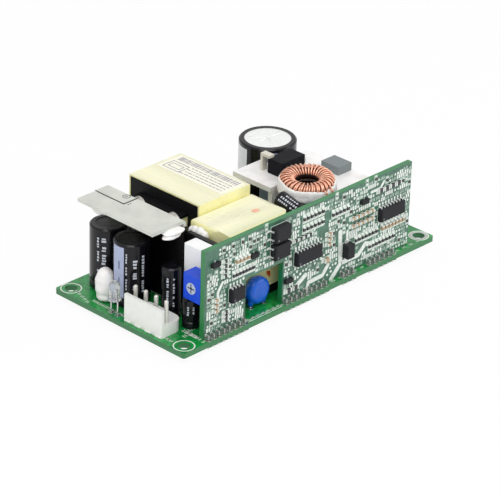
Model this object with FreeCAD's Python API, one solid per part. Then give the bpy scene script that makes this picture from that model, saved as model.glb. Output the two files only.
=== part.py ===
# Open frame power supply on a 4 by 2 inch board, in millimetres.
# Origin: centre of the mounting hole pattern, on the underside of the main board.
# +X runs from the output header to the line input, the control board stands on the -Y side, +Z is up.
import FreeCAD, Part
import math
import os

V = FreeCAD.Vector

# Main board
BOARD_LENGTH = 101.6
BOARD_WIDTH = 50.8
BOARD_THICKNESS = 1.6
BOARD_CORNER = 0.8
MOUNT_HOLE_RADIUS = 1.75
MOUNT_HOLE_INSET = 3.175

# Fits
LEAD_CLEARANCE = 0.08
SLEEVE_CLEARANCE = 0.02
CORE_CLEARANCE = 0.1
ROTOR_CLEARANCE = 0.05
SIDE_GAP = 0.3

# Control board
CONTROL_THICKNESS = 1.6
CONTROL_HEIGHT = 26.35
CONTROL_LEFT_INSET = 9.2
CONTROL_RIGHT_INSET = 9.74
CONTROL_FACE_INSET = 1.86
NOTCH_FROM_LEFT = 15.8
NOTCH_WIDTH = 14.5
NOTCH_HEIGHT = 12.8
CONTROL_PIN_WIDTH = 0.5
CONTROL_PIN_PITCH = 2.0
CONTROL_PIN_STANDOFF = 1.0
CONTROL_PIN_HEIGHT = 1.15
CONTROL_PIN_TAIL = 0.6
PIN_GROUP_INSET = 0.8
MIDDLE_PINS_FROM_NOTCH = 24.0
LAST_PINS_FROM_NOTCH = 35.0
LAYOUT_LENGTH = 82.66

# Output and input headers
HEADER_PITCH = 3.96
HEADER_PIN_RADIUS = 0.57
HEADER_PIN_INSET = 4.3
HEADER_PIN_HEIGHT = 10.2
HEADER_PIN_CHAMFER = 0.25
HEADER_END = 1.31
HEADER_WALL_INSET = 1.3
HEADER_WALL = 1.0
HEADER_WALL_HEIGHT = 8.2
HEADER_BASE_HEIGHT = 3.4
HEADER_BASE_DEPTH = 8.2
HEADER_CORNER = 3.0
HEADER_FROM_FRONT = 17.1
OUTPUT_PIN_COUNT = 4
INPUT_PIN_COUNT = 3

# Electrolytic capacitors
SLEEVE_THICKNESS = 0.15
SLEEVE_RIM = 1.6
CRIMP_DEPTH = 0.4
CRIMP_HEIGHT = 2.2
OUTPUT_CAP_RADIUS = 5.15
OUTPUT_CAP_HEIGHT = 19.4
OUTPUT_CAP_LEAD_PITCH = 5.0
OUTPUT_CAP_GAP = 0.5
OUTPUT_CAP_STAGGER = 1.7
FIRST_CAP_FROM_BACK = 6.0
SECOND_CAP_FROM_BACK = 17.3
AUX_CAP_RADIUS = 2.8
AUX_CAP_HEIGHT = 15.4
SHORT_CAP_RADIUS = 2.5
SHORT_CAP_HEIGHT = 9.0
AUX_CAP_GAP = 0.2
SHORT_CAP_GAP = 0.4
AUX_CAP_FROM_CONTROL = 14.34
SHORT_CAP_FROM_CONTROL = 6.4
SMALL_CAP_LEAD_PITCH = 2.5
BULK_CAP_RADIUS = 8.4
BULK_CAP_HEIGHT = 25.9
BULK_CAP_LEAD_PITCH = 7.5
BULK_CAP_FROM_BACK = 1.1
BULK_CAP_FROM_INPUT = 27.6
LYING_CAP_RADIUS = 2.4
LYING_CAP_LENGTH = 9.2
LYING_CAP_TILT = 12.5
LYING_CAP_FROM_STEP = 6.4
LYING_CAP_BELOW_PLATE = 1.85
LYING_CAP_FROM_CONTROL = 3.34
LYING_CAP_LEAD_RUN = 1.5
VENT_GROOVE_WIDTH = 0.5
VENT_GROOVE_DEPTH = 0.12
CAP_LEAD_RADIUS = 0.3
BULK_LEAD_RADIUS = 0.4

# Indicator lamp
LAMP_RADIUS = 1.5
LAMP_FLANGE_RADIUS = 1.85
LAMP_FLANGE_HEIGHT = 0.8
LAMP_BODY_HEIGHT = 4.3
LAMP_STANDOFF = 4.4
LAMP_LEAD_PITCH = 2.54
LAMP_LEAD_RADIUS = 0.25
LAMP_FROM_FRONT = 28.8

# Trimmer
TRIMMER_DEPTH = 4.9
TRIMMER_WIDTH = 6.64
TRIMMER_HEIGHT = 7.4
TRIMMER_BASE_Z = 11.6
TRIMMER_EDGE = 0.4
ROTOR_RADIUS = 1.65
ROTOR_DEPTH = 1.6
ROTOR_PROUD = 0.15
ROTOR_SLOT_WIDTH = 0.45
ROTOR_SLOT_DEPTH = 0.7
TRIMMER_LEAD_RADIUS = 0.25
TRIMMER_LEAD_PITCH = 2.54

# Output heatsinks
SHEET = 1.0
HEATSINK_TOP = 28.0
HEATSINK_FREE_INSET = 6.4
HEATSINK_FOLD_INSET = 19.1
HEATSINK_FROM_CONTROL = 15.54
HEATSINK_FROM_BACK = 2.4
HEATSINK_BEND = 1.4
HEATSINK_TAB_WIDTH = 2.4
HEATSINK_TAB_INSET = 2.4
SECOND_SINK_DEPTH = 5.7
SECOND_SINK_LENGTH = 10.9
SECOND_SINK_PROUD = 0.4
SINK_GAP = 0.5
FILM_THICKNESS = 0.25
FILM_MARGIN = 0.6

# Power packages
PACKAGE_WIDTH = 10.0
PACKAGE_THICKNESS = 4.4
PACKAGE_HEIGHT = 15.0
PACKAGE_TAB_THICKNESS = 1.3
PACKAGE_TAB_HEIGHT = 4.8
PACKAGE_HOLE_HEIGHT = 2.45
PACKAGE_STANDOFF = 4.8
PACKAGE_LEAD_PITCH = 2.54
PACKAGE_LEAD_WIDTH = 0.8
PACKAGE_LEAD_THICKNESS = 0.5
SCREW_RADIUS = 1.45
SCREW_HEAD_RADIUS = 2.4
SCREW_HEAD_HEIGHT = 1.8
RECTIFIER_INSET = 2.9
SECOND_RECTIFIER_OVERHANG = 2.2
TRANSISTOR_DROP = 4.0
TRANSISTOR_FROM_STEP = 0.9
BRIDGE_LENGTH = 14.0
BRIDGE_WIDTH = 3.6
BRIDGE_HEIGHT = 12.0
BRIDGE_STANDOFF = 3.4
BRIDGE_FROM_PLATE_LEFT = 1.4
BRIDGE_PIN_PITCH = 3.8
BRIDGE_PIN_OFFSET = 0.6
BRIDGE_PIN_RADIUS = 0.35

# Transformer
CORE_LENGTH = 26.6
CORE_WIDTH = 19.6
CORE_HEIGHT = 25.7
CORE_STANDOFF = 0.8
CORE_PLATE = 3.6
CORE_LEG = 4.0
CORE_CENTRE_LEG = 8.0
CORE_FROM_OUTPUT = 26.8
CORE_FROM_BACK = 2.0
TAPE_THICKNESS = 0.4
TAPE_OVERHANG = 0.2
RAIL_CLEARANCE = 0.1
BOBBIN_WALL = 0.8
BOBBIN_FLANGE = 0.8
WINDING_BULGE = 2.1
WINDING_INSET = 0.2
RAIL_REACH = 3.2
TRANSFORMER_PIN_RADIUS = 0.4
TRANSFORMER_PIN_COUNT = 5
TRANSFORMER_PIN_PITCH = 3.8
LABEL_WIDTH = 9.5
LABEL_LENGTH = 25.2
LABEL_THICKNESS = 0.1
LABEL_INSET = 0.7

# Taped choke beside the transformer
CHOKE_LENGTH = 26.3
CHOKE_FROM_CONTROL = 4.34
CHOKE_HEIGHT = 21.4
CHOKE_BASE_HEIGHT = 3.0
CHOKE_BASE_INSET = 0.5
CHOKE_BASE_CORNER = 1.0
CHOKE_FRONT_ROUND = 5.5
CHOKE_END_ROUND = 5.0
CHOKE_EDGE = 1.2
CHOKE_PIN_INSET = 3.0
CHOKE_OVERLAP = 3.4
CHOKE_GAP = 0.2
CHOKE_PIN_RADIUS = 0.4

# Boxed capacitor and barrier by the trimmer
BOX_CAP_THICKNESS = 4.6
BOX_CAP_LENGTH = 8.1
BOX_CAP_HEIGHT = 21.9
BOX_CAP_FROM_CONTROL = 4.24
BOX_CAP_EDGE = 0.4
BOX_CAP_PROUD = 0.6
BARRIER_THICKNESS = 1.4
BARRIER_HEIGHT = 22.2
BARRIER_LENGTH = 11.8
BARRIER_GAP = 0.2

# Silicone round the output parts
BEAD_RADIUS = 2.7
BEAD_HEIGHT = 10.1
DROP_RADIUS = 3.2
DROP_HEIGHT = 2.8
TONGUE_THICKNESS = 1.1
TONGUE_LENGTH = 8.0
TONGUE_BELOW = 1.2
TONGUE_REACH = 2.0
TONGUE_STEP = 1.0
TONGUE_ROOT = 3.0
BEAD_FROM_CAP = 5.0
BEAD_FROM_MIDDLE = 0.5
DROP_OFFSET = (-1.4, 0.6)
PAD_HEIGHT = 3.4
PAD_LENGTH = 6.0
ADHESIVE_CLEARANCE = 0.05

# Primary heatsink
PLATE_TOP = 24.5
PLATE_SHEET = 1.5
PLATE_FROM_CHOKE = 5.4
PLATE_FROM_INPUT = 20.6
PLATE_FROM_CONTROL = 3.04
PLATE_FROM_BACK = 14.1
PLATE_CUT_FROM_BULK = 7.7
PLATE_CUT_GAP = 0.7
PLATE_STEP = 3.4
WEB_FROM_PLATE_FRONT = 15.5
WEB_INSET = 0.7
BLOCK_LENGTH = 9.3
BLOCK_WIDTH = 5.6
BLOCK_HEIGHT = 4.6
BLOCK_FROM_PLATE_LEFT = 6.6
BLOCK_BEHIND_WEB = 1.9
CLIP_SHEET = 0.8
CLIP_LENGTH = 3.4
CLIP_WIDTH = 2.0
CLIP_LAP = 0.8
CLIP_SIDE = 0.3
BLOCK_LEAD_RUN = 1.7
PLATE_HOLE_CLEARANCE = 0.6
PLATE_TAB_INSET = 2.0
GREY_BOX_LENGTH = 5.5
GREY_BOX_WIDTH = 6.6
GREY_BOX_HEIGHT = 2.5
GREY_BOX_FROM_RIGHT = 0.7
GREY_BOX_FROM_PLATE_FRONT = 7.9
GREY_BOX_PIN_INSET = (1.0, 1.4)

# Toroid on the primary heatsink
TOROID_FROM_PLATE_LEFT = 6.6
TOROID_FROM_PLATE_FRONT = 7.8
TOROID_RADIUS = 5.75
TOROID_SECTION = 2.45
TOROID_WINDING = 1.0
TOROID_BED = 0.5
TOROID_TURNS = 48
TURN_FILL = 0.84
TOROID_LEAD_RADIUS = 0.3
TOROID_LEAD_SPACING = 2.4
ADHESIVE_SKIRT = 0.35
ADHESIVE_RIM = 1.5

# Parts of the line side
CHOKE_RING_RADIUS = 4.4
CHOKE_RING_SECTION = 1.6
CHOKE_RING_HEIGHT = 5.0
CHOKE_RING_FROM_INPUT = 25.8
CHOKE_RING_FROM_FRONT = 12.0
CHOKE_RING_WIRE = 0.6
CHOKE_RING_BASE = 1.2
LINE_CAP_LENGTH = 13.0
LINE_CAP_THICKNESS = 6.0
LINE_CAP_HEIGHT = 11.0
LINE_CAP_FROM_INPUT = 19.2
LINE_CAP_FROM_FRONT = 5.8
LINE_CAP_PIN_INSET = 1.5
LINE_LEAD_RADIUS = 0.35
FUSE_RADIUS = 3.2
FUSE_HEIGHT = 7.6
FUSE_FROM_INPUT = 9.2
FUSE_FROM_FRONT = 7.5
FUSE_LEAD_PITCH = 3.6
FUSE_EDGE = 0.5
LIMITER_RADIUS = 4.5
LIMITER_THICKNESS = 4.0
LIMITER_FROM_INPUT = 10.8
LIMITER_FROM_BACK = 9.4
DISC_LEAD_RADIUS = 0.3
DISC_STANDOFF = 0.8

# Blue disc capacitor behind the notch
DISC_RADIUS = 4.0
DISC_THICKNESS = 3.2
DISC_LEAD_SPACING = 5.0
DISC_BEHIND_BOARD = 0.74

# Parts on the control board
CHIP_THICKNESS = 1.65
CHIP_WIDTH = 3.9
CHIP_STANDOFF = 0.1
CHIP_PITCH = 1.27
CHIP_LEAD_WIDTH = 0.42
CHIP_LEAD_THICKNESS = 0.2
CHIP_LEAD_REACH = 1.0
CHIP_END = 0.5
OPTO_LENGTH = 5.9
OPTO_WIDTH = 4.4
OPTO_THICKNESS = 2.2
CHIP_CHAMFER = 0.25
OPTO_CHAMFER = 0.3
TRANSISTOR_HALF_LENGTH = 1.45
TRANSISTOR_HALF_WIDTH = 0.65
TRANSISTOR_THICKNESS = 1.0
RESISTOR = (1.6, 0.8, 0.45)
LARGE_RESISTOR = (2.0, 1.25, 0.5)
CERAMIC = (1.6, 0.8, 0.8)
LARGE_CERAMIC = (2.0, 1.25, 1.0)
POWER_DIODE = (2.7, 4.2, 2.2)

# Solder on the underside
FOOT_HEIGHT = 1.8
POINT_HEIGHT = 1.0
SOLDER_SPREAD = 0.55

OUTPUT_END = -BOARD_LENGTH / 2
INPUT_END = BOARD_LENGTH / 2
FRONT_EDGE = -BOARD_WIDTH / 2
BACK_EDGE = BOARD_WIDTH / 2
BOARD_TOP = BOARD_THICKNESS
CONTROL_LEFT = OUTPUT_END + CONTROL_LEFT_INSET
CONTROL_RIGHT = INPUT_END - CONTROL_RIGHT_INSET
CONTROL_FACE = FRONT_EDGE + CONTROL_FACE_INSET
CONTROL_BACK = CONTROL_FACE + CONTROL_THICKNESS
HEATSINK_FOLD_X = OUTPUT_END + HEATSINK_FOLD_INSET
HEATSINK_FREE_X = OUTPUT_END + HEATSINK_FREE_INSET
HEADER_BACK_X = OUTPUT_END + HEADER_WALL_INSET + HEADER_BASE_DEPTH
CORE_LEFT = OUTPUT_END + CORE_FROM_OUTPUT
CORE_BACK = BACK_EDGE - CORE_FROM_BACK
CORE_FRONT = CORE_BACK - CORE_LENGTH
CORE_RIGHT = CORE_LEFT + CORE_WIDTH
CORE_BOTTOM = BOARD_TOP + CORE_STANDOFF
CORE_TOP = CORE_BOTTOM + CORE_HEIGHT
HEATSINK_FRONT = CONTROL_BACK + HEATSINK_FROM_CONTROL
HEATSINK_BACK = BACK_EDGE - HEATSINK_FROM_BACK
SECOND_SINK_FRONT = HEATSINK_BACK - SECOND_SINK_LENGTH
BOX_CAP_RIGHT = HEATSINK_FOLD_X + BOX_CAP_PROUD
BARRIER_RIGHT = BOX_CAP_RIGHT + BARRIER_GAP + BARRIER_THICKNESS
CHOKE_LEFT = CORE_LEFT - CHOKE_OVERLAP
CHOKE_BACK = CORE_FRONT - TAPE_THICKNESS - CHOKE_GAP
CHOKE_TOP = BOARD_TOP + CHOKE_BASE_HEIGHT + CHOKE_HEIGHT
BULK_CAP_X = INPUT_END - BULK_CAP_FROM_INPUT
BULK_CAP_Y = BACK_EDGE - BULK_CAP_FROM_BACK - BULK_CAP_RADIUS
PLATE_LEFT = CHOKE_LEFT + CHOKE_LENGTH + PLATE_FROM_CHOKE
PLATE_RIGHT = INPUT_END - PLATE_FROM_INPUT
PLATE_FRONT = CONTROL_BACK + PLATE_FROM_CONTROL
PLATE_STEP_X = PLATE_LEFT + PLATE_STEP
WEB_FRONT = PLATE_FRONT + WEB_FROM_PLATE_FRONT
TRANSISTOR_X = PLATE_STEP_X + TRANSISTOR_FROM_STEP
TOROID_X = PLATE_LEFT + TOROID_FROM_PLATE_LEFT
TOROID_Y = PLATE_FRONT + TOROID_FROM_PLATE_FRONT
CHOKE_RING_X = INPUT_END - CHOKE_RING_FROM_INPUT
CHOKE_RING_Y = FRONT_EDGE + CHOKE_RING_FROM_FRONT

nodes = {}
board_cuts = []
control_cuts = []
skirt_cuts = []
feet = []
points = []


def box(x, y, z):
    """Box between the pairs of limits x, y and z."""
    return Part.makeBox(x[1] - x[0], y[1] - y[0], z[1] - z[0], V(x[0], y[0], z[0]))


def cylinder(x, y, radius, z):
    return Part.makeCylinder(radius, z[1] - z[0], V(x, y, z[0]))


def prism(points_3d, push):
    """Flat outline swept along the vector push."""
    return Part.Face(Part.makePolygon(points_3d + points_3d[:1])).extrude(push)


def turned(outline, x, y, z):
    """Outline of (radius, height) pairs turned about the vertical through x, y."""
    wire = Part.makePolygon([V(x + r, y, z + h) for r, h in outline + outline[:1]])
    return Part.Face(wire).revolve(V(x, y, z), V(0, 0, 1), 360)


def rounded_box(x, y, z, radius):
    """Box with its four upright edges rounded."""
    solid = box(x, y, z)
    upright = [e for e in solid.Edges if abs(e.Vertexes[0].Z - e.Vertexes[1].Z) > 1e-6]
    return solid.makeFillet(radius, upright)


def fuse_all(solids):
    return solids[0].multiFuse(solids[1:]).removeSplitter() if len(solids) > 1 else solids[0]


def keep(name, *solids):
    nodes.setdefault(name, []).extend(solids)


def board_hole(x, y, radius):
    board_cuts.append(cylinder(x, y, radius + LEAD_CLEARANCE, (0, BOARD_TOP)))


def solder(x, y, radius, foot):
    """Solder cone under a lead; the feet are the taller ones that the unit rests on."""
    height = FOOT_HEIGHT if foot else POINT_HEIGHT
    cone = Part.makeCone(radius + SOLDER_SPREAD, radius * 0.8, height, V(x, y, 0), V(0, 0, -1))
    (feet if foot else points).append(cone)


def round_lead(x, y, top, radius, foot=False):
    board_hole(x, y, radius)
    solder(x, y, radius, foot)
    return cylinder(x, y, radius, (0, top))


def square_lead(x, y, top, width, foot=False):
    half = width / 2
    reach = half * math.sqrt(2)
    board_hole(x, y, reach)
    solder(x, y, reach, foot)
    return box((x - half, x + half), (y - half, y + half), (0, top))


def can_outline(radius, height, inset):
    """Half section of a crimped can, moved inwards by inset, from the axis round to the axis."""
    r = radius - inset
    waist = r - CRIMP_DEPTH
    top = height - inset
    return [(0, inset), (r - CRIMP_DEPTH, inset), (r, inset + CRIMP_DEPTH),
            (r, CRIMP_HEIGHT - CRIMP_DEPTH), (waist, CRIMP_HEIGHT), (r, CRIMP_HEIGHT + CRIMP_DEPTH),
            (r, top - CRIMP_DEPTH), (r - CRIMP_DEPTH, top), (0, top)]


def capacitor(x, y, radius, height, grooves=False):
    """Crimped can and the shrunk sleeve round it, standing on the main board."""
    outer = turned(can_outline(radius, height, 0), x, y, BOARD_TOP)
    inner = turned(can_outline(radius, height, SLEEVE_THICKNESS), x, y, BOARD_TOP)
    window = cylinder(x, y, radius - SLEEVE_RIM, (BOARD_TOP - 1, BOARD_TOP + height + 1))
    sleeve = outer.cut(inner).cut(window)
    can = turned(can_outline(radius, height, SLEEVE_THICKNESS + SLEEVE_CLEARANCE), x, y, BOARD_TOP)
    foot_radius = radius - SLEEVE_RIM - SLEEVE_CLEARANCE
    can = can.fuse(cylinder(x, y, foot_radius, (BOARD_TOP, BOARD_TOP + CRIMP_HEIGHT))).removeSplitter()
    if grooves:
        can = can.cut(vent_grooves(x, y, radius, BOARD_TOP + height - SLEEVE_THICKNESS - SLEEVE_CLEARANCE))
    return can, sleeve


def vent_grooves(x, y, radius, top):
    """Cross of shallow grooves pressed into a can's top."""
    reach = radius - SLEEVE_RIM - 1.5
    half = VENT_GROOVE_WIDTH / 2
    depth = (top - VENT_GROOVE_DEPTH, top + 1)
    bar = box((x - reach, x + reach), (y - half, y + half), depth)
    return bar.fuse(bar.rotated(V(x, y, 0), V(0, 0, 1), 90))


def main_board():
    board = rounded_box((OUTPUT_END, INPUT_END), (FRONT_EDGE, BACK_EDGE), (0, BOARD_TOP), BOARD_CORNER)
    for sx in (-1, 1):
        for sy in (-1, 1):
            x = sx * (BOARD_LENGTH / 2 - MOUNT_HOLE_INSET)
            y = sy * (BOARD_WIDTH / 2 - MOUNT_HOLE_INSET)
            board_cuts.append(cylinder(x, y, MOUNT_HOLE_RADIUS, (0, BOARD_TOP)))
    keep("main_board", board.cut(Part.makeCompound(board_cuts)))


def control_board():
    """Upright board with the open notch in its lower edge."""
    top = BOARD_TOP + CONTROL_HEIGHT
    board = box((CONTROL_LEFT, CONTROL_RIGHT), (CONTROL_FACE, CONTROL_BACK), (BOARD_TOP, top))
    left = CONTROL_LEFT + NOTCH_FROM_LEFT
    notch_x = (left, left + NOTCH_WIDTH)
    notch = box(notch_x, (CONTROL_FACE, CONTROL_BACK), (BOARD_TOP, BOARD_TOP + NOTCH_HEIGHT))
    keep("control_board", board.cut(notch).cut(Part.makeCompound(control_cuts)))


def control_pins():
    """Angled pins in groups along the foot of the control board."""
    notch_left = CONTROL_LEFT + NOTCH_FROM_LEFT
    notch_right = notch_left + NOTCH_WIDTH
    groups = ((CONTROL_LEFT + PIN_GROUP_INSET, 8), (notch_right + PIN_GROUP_INSET, 9),
              (notch_right + MIDDLE_PINS_FROM_NOTCH, 3), (notch_right + LAST_PINS_FROM_NOTCH, 6))
    half = CONTROL_PIN_WIDTH / 2
    y = CONTROL_FACE - CONTROL_PIN_STANDOFF
    z = BOARD_TOP + CONTROL_PIN_HEIGHT
    for first, count in groups:
        for i in range(count):
            x = first + i * CONTROL_PIN_PITCH
            upright = square_lead(x, y, z + half, CONTROL_PIN_WIDTH)
            tail_y = (y - half, CONTROL_BACK + CONTROL_PIN_TAIL)
            tail = box((x - half, x + half), tail_y, (z - half, z + half))
            keep("control_board_pins", upright.fuse(tail).removeSplitter())
            reach = half * math.sqrt(2) + LEAD_CLEARANCE
            hole = Part.makeCylinder(reach, CONTROL_THICKNESS, V(x, CONTROL_FACE, z), V(0, 1, 0))
            control_cuts.append(hole)


def header(side, count, skipped, name):
    """Pin header with its wall towards the board's end; side is -1 at the output, 1 at the input."""
    end = side * BOARD_LENGTH / 2
    pin_x = end - side * HEADER_PIN_INSET
    wall = sorted((end - side * HEADER_WALL_INSET, end - side * (HEADER_WALL_INSET + HEADER_WALL)))
    base = sorted((end - side * HEADER_WALL_INSET, end - side * (HEADER_WALL_INSET + HEADER_BASE_DEPTH)))
    reach = (count - 1) / 2 * HEADER_PITCH + HEADER_END
    middle = FRONT_EDGE + HEADER_FROM_FRONT
    ys = (middle - reach, middle + reach)
    base_top = BOARD_TOP + HEADER_BASE_HEIGHT
    body = box(base, ys, (BOARD_TOP, base_top))
    inner_x = base[1] if side < 0 else base[0]
    edges = [e for e in body.Edges if abs(e.Vertexes[0].Z - e.Vertexes[1].Z) > 1e-6
             and abs(e.Vertexes[0].X - inner_x) < 1e-6]
    body = body.makeFillet(HEADER_CORNER, edges)
    body = body.fuse(box(wall, ys, (BOARD_TOP, BOARD_TOP + HEADER_WALL_HEIGHT))).removeSplitter()
    pins = []
    for i in range(count):
        y = middle + (i - (count - 1) / 2) * HEADER_PITCH
        if i == skipped:
            continue
        pin = round_lead(pin_x, y, BOARD_TOP + HEADER_PIN_HEIGHT, HEADER_PIN_RADIUS, foot=i in (0, count - 1))
        body = body.cut(pin)
        tip = [e for e in pin.Edges if min(v.Z for v in e.Vertexes) > BOARD_TOP + HEADER_PIN_HEIGHT - 1e-6]
        pins.append(pin.makeChamfer(HEADER_PIN_CHAMFER, tip))
    keep(name + "_header_housing", body)
    keep(name + "_header_pins", *pins)


def output_capacitor_places():
    """Centres of the two output capacitors, behind the header and in front of the heatsink's leg."""
    first_x = HEATSINK_FOLD_X - SHEET - FILM_THICKNESS - OUTPUT_CAP_GAP - OUTPUT_CAP_RADIUS
    return ((first_x, HEATSINK_BACK - FIRST_CAP_FROM_BACK),
            (first_x - OUTPUT_CAP_STAGGER, HEATSINK_BACK - SECOND_CAP_FROM_BACK))


def capacitor_leads(x, y, pitch, radius, top, along_x=False):
    for s in (-0.5, 0.5):
        dx, dy = (s * pitch, 0) if along_x else (0, s * pitch)
        keep("capacitor_leads", round_lead(x + dx, y + dy, top, radius))


def upright_capacitors():
    for x, y in output_capacitor_places():
        can, sleeve = capacitor(x, y, OUTPUT_CAP_RADIUS, OUTPUT_CAP_HEIGHT)
        keep("output_capacitor_cans", can)
        keep("output_capacitor_sleeves", sleeve)
        capacitor_leads(x, y, OUTPUT_CAP_LEAD_PITCH, CAP_LEAD_RADIUS, BOARD_TOP)
    tall = (AUX_CAP_GAP, AUX_CAP_FROM_CONTROL, AUX_CAP_RADIUS, AUX_CAP_HEIGHT)
    short = (SHORT_CAP_GAP, SHORT_CAP_FROM_CONTROL, SHORT_CAP_RADIUS, SHORT_CAP_HEIGHT)
    for gap, depth, radius, height in (tall, short):
        x = HEADER_BACK_X + gap + radius
        y = CONTROL_BACK + depth
        can, sleeve = capacitor(x, y, radius, height)
        keep("auxiliary_capacitor_cans", can)
        keep("auxiliary_capacitor_sleeves", sleeve)
        capacitor_leads(x, y, SMALL_CAP_LEAD_PITCH, CAP_LEAD_RADIUS, BOARD_TOP)
    can, sleeve = capacitor(BULK_CAP_X, BULK_CAP_Y, BULK_CAP_RADIUS, BULK_CAP_HEIGHT, grooves=True)
    keep("bulk_capacitor_can", can)
    keep("bulk_capacitor_sleeve", sleeve)
    capacitor_leads(BULK_CAP_X, BULK_CAP_Y, BULK_CAP_LEAD_PITCH, BULK_LEAD_RADIUS, BOARD_TOP, along_x=True)


def lying_capacitor():
    """Small capacitor on its side between the taped choke and the toroid, its lead end the lower."""
    x = PLATE_STEP_X - LYING_CAP_FROM_STEP
    z = PLATE_TOP - LYING_CAP_BELOW_PLATE
    front = CONTROL_BACK + LYING_CAP_FROM_CONTROL
    at = V(x, front, z)

    def laid(solid):
        """Solid that stands on the origin, laid down with its foot at the front."""
        return solid.rotated(V(0, 0, 0), V(1, 0, 0), LYING_CAP_TILT - 90).translated(at)

    can, sleeve = capacitor(0, 0, LYING_CAP_RADIUS, LYING_CAP_LENGTH)
    keep("auxiliary_capacitor_cans", laid(can.translated(V(0, 0, -BOARD_TOP))))
    keep("auxiliary_capacitor_sleeves", laid(sleeve.translated(V(0, 0, -BOARD_TOP))))
    clear = LYING_CAP_RADIUS + ADHESIVE_CLEARANCE
    skirt_cuts.append(laid(cylinder(0, 0, clear, (0, LYING_CAP_LENGTH + SIDE_GAP))))
    body = laid(cylinder(0, 0, LYING_CAP_RADIUS, (0, LYING_CAP_LENGTH)))
    drop_y = front - LYING_CAP_LEAD_RUN
    for s in (-0.5, 0.5):
        lead_x = x + s * SMALL_CAP_LEAD_PITCH
        upright = round_lead(lead_x, drop_y, z, CAP_LEAD_RADIUS)
        elbow = Part.makeSphere(CAP_LEAD_RADIUS, V(lead_x, drop_y, z))
        run = Part.makeCylinder(CAP_LEAD_RADIUS, front + SIDE_GAP - drop_y, V(lead_x, drop_y, z), V(0, 1, 0))
        keep("capacitor_leads", fuse_all([upright, elbow, run.cut(body)]))


def indicator_lamp():
    """Clear round lamp standing off the board at the output end."""
    x = OUTPUT_END + LAMP_FLANGE_RADIUS + ROTOR_CLEARANCE
    y = FRONT_EDGE + LAMP_FROM_FRONT
    z = BOARD_TOP + LAMP_STANDOFF
    body = cylinder(x, y, LAMP_RADIUS, (z, z + LAMP_BODY_HEIGHT))
    dome = Part.makeSphere(LAMP_RADIUS, V(x, y, z + LAMP_BODY_HEIGHT))
    flange = cylinder(x, y, LAMP_FLANGE_RADIUS, (z, z + LAMP_FLANGE_HEIGHT))
    keep("indicator_lamp", fuse_all([body, dome, flange]))
    for s in (-0.5, 0.5):
        keep("component_leads", round_lead(x, y + s * LAMP_LEAD_PITCH, z, LAMP_LEAD_RADIUS))


def trimmer():
    """Trimmer flat on the back of the control board; its rotor faces the output end."""
    left = CONTROL_LEFT - 0.1
    right = left + TRIMMER_DEPTH
    front = CONTROL_BACK
    back = CONTROL_BACK + TRIMMER_WIDTH
    z = (TRIMMER_BASE_Z, TRIMMER_BASE_Z + TRIMMER_HEIGHT)
    body = box((left, right), (front, back), z)
    face_edges = [e for e in body.Edges if max(abs(v.X - left) for v in e.Vertexes) < 1e-6]
    free_edges = [e for e in face_edges if min(v.Y for v in e.Vertexes) > front + 1e-6]
    body = body.makeChamfer(TRIMMER_EDGE, free_edges)
    axis_y = (front + back) / 2
    axis_z = (z[0] + z[1]) / 2
    bore = ROTOR_RADIUS + ROTOR_CLEARANCE
    body = body.cut(Part.makeCylinder(bore, ROTOR_DEPTH, V(left, axis_y, axis_z), V(1, 0, 0)))
    keep("trimmer_body", body)
    start = left - ROTOR_PROUD
    length = ROTOR_DEPTH - ROTOR_CLEARANCE + ROTOR_PROUD
    rotor = Part.makeCylinder(ROTOR_RADIUS, length, V(start, axis_y, axis_z), V(1, 0, 0))
    half = ROTOR_SLOT_WIDTH / 2
    reach = ROTOR_RADIUS - 0.3
    for a, b in ((half, reach), (reach, half)):
        slot = box((start, start + ROTOR_SLOT_DEPTH), (axis_y - a, axis_y + a), (axis_z - b, axis_z + b))
        rotor = rotor.cut(slot)
    keep("trimmer_rotor", rotor)
    for i in (-1, 0, 1):
        at = V((left + right) / 2, CONTROL_BACK, axis_z + i * TRIMMER_LEAD_PITCH)
        lead = Part.makeCylinder(TRIMMER_LEAD_RADIUS, CONTROL_THICKNESS + CONTROL_PIN_TAIL, at, V(0, -1, 0))
        keep("component_leads", lead)
        hole = TRIMMER_LEAD_RADIUS + LEAD_CLEARANCE
        control_cuts.append(Part.makeCylinder(hole, CONTROL_THICKNESS, at, V(0, -1, 0)))


def folded_sheet(free_x, fold_x, y, top, bottom, sheet):
    """Sheet bent once: a level flange from free_x to fold_x, then a leg down to bottom."""
    outer = HEATSINK_BEND
    inner = outer - sheet
    corner = V(fold_x - outer, y[0], top - outer)
    start = V(free_x, y[0], top)
    bend_top = corner + V(0, 0, outer)
    bend_side = corner + V(outer, 0, 0)
    slant = math.sqrt(0.5)
    edges = [
        Part.LineSegment(start, bend_top).toShape(),
        Part.Arc(bend_top, corner + V(outer * slant, 0, outer * slant), bend_side).toShape(),
        Part.LineSegment(bend_side, V(fold_x, y[0], bottom)).toShape(),
        Part.LineSegment(V(fold_x, y[0], bottom), V(fold_x - sheet, y[0], bottom)).toShape(),
        Part.LineSegment(V(fold_x - sheet, y[0], bottom), corner + V(inner, 0, 0)).toShape(),
        Part.Arc(corner + V(inner, 0, 0), corner + V(inner * slant, 0, inner * slant),
                 corner + V(0, 0, inner)).toShape(),
        Part.LineSegment(corner + V(0, 0, inner), V(free_x, y[0], top - sheet)).toShape(),
        Part.LineSegment(V(free_x, y[0], top - sheet), start).toShape(),
    ]
    return Part.Face(Part.Wire(edges)).extrude(V(0, y[1] - y[0], 0))


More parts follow.
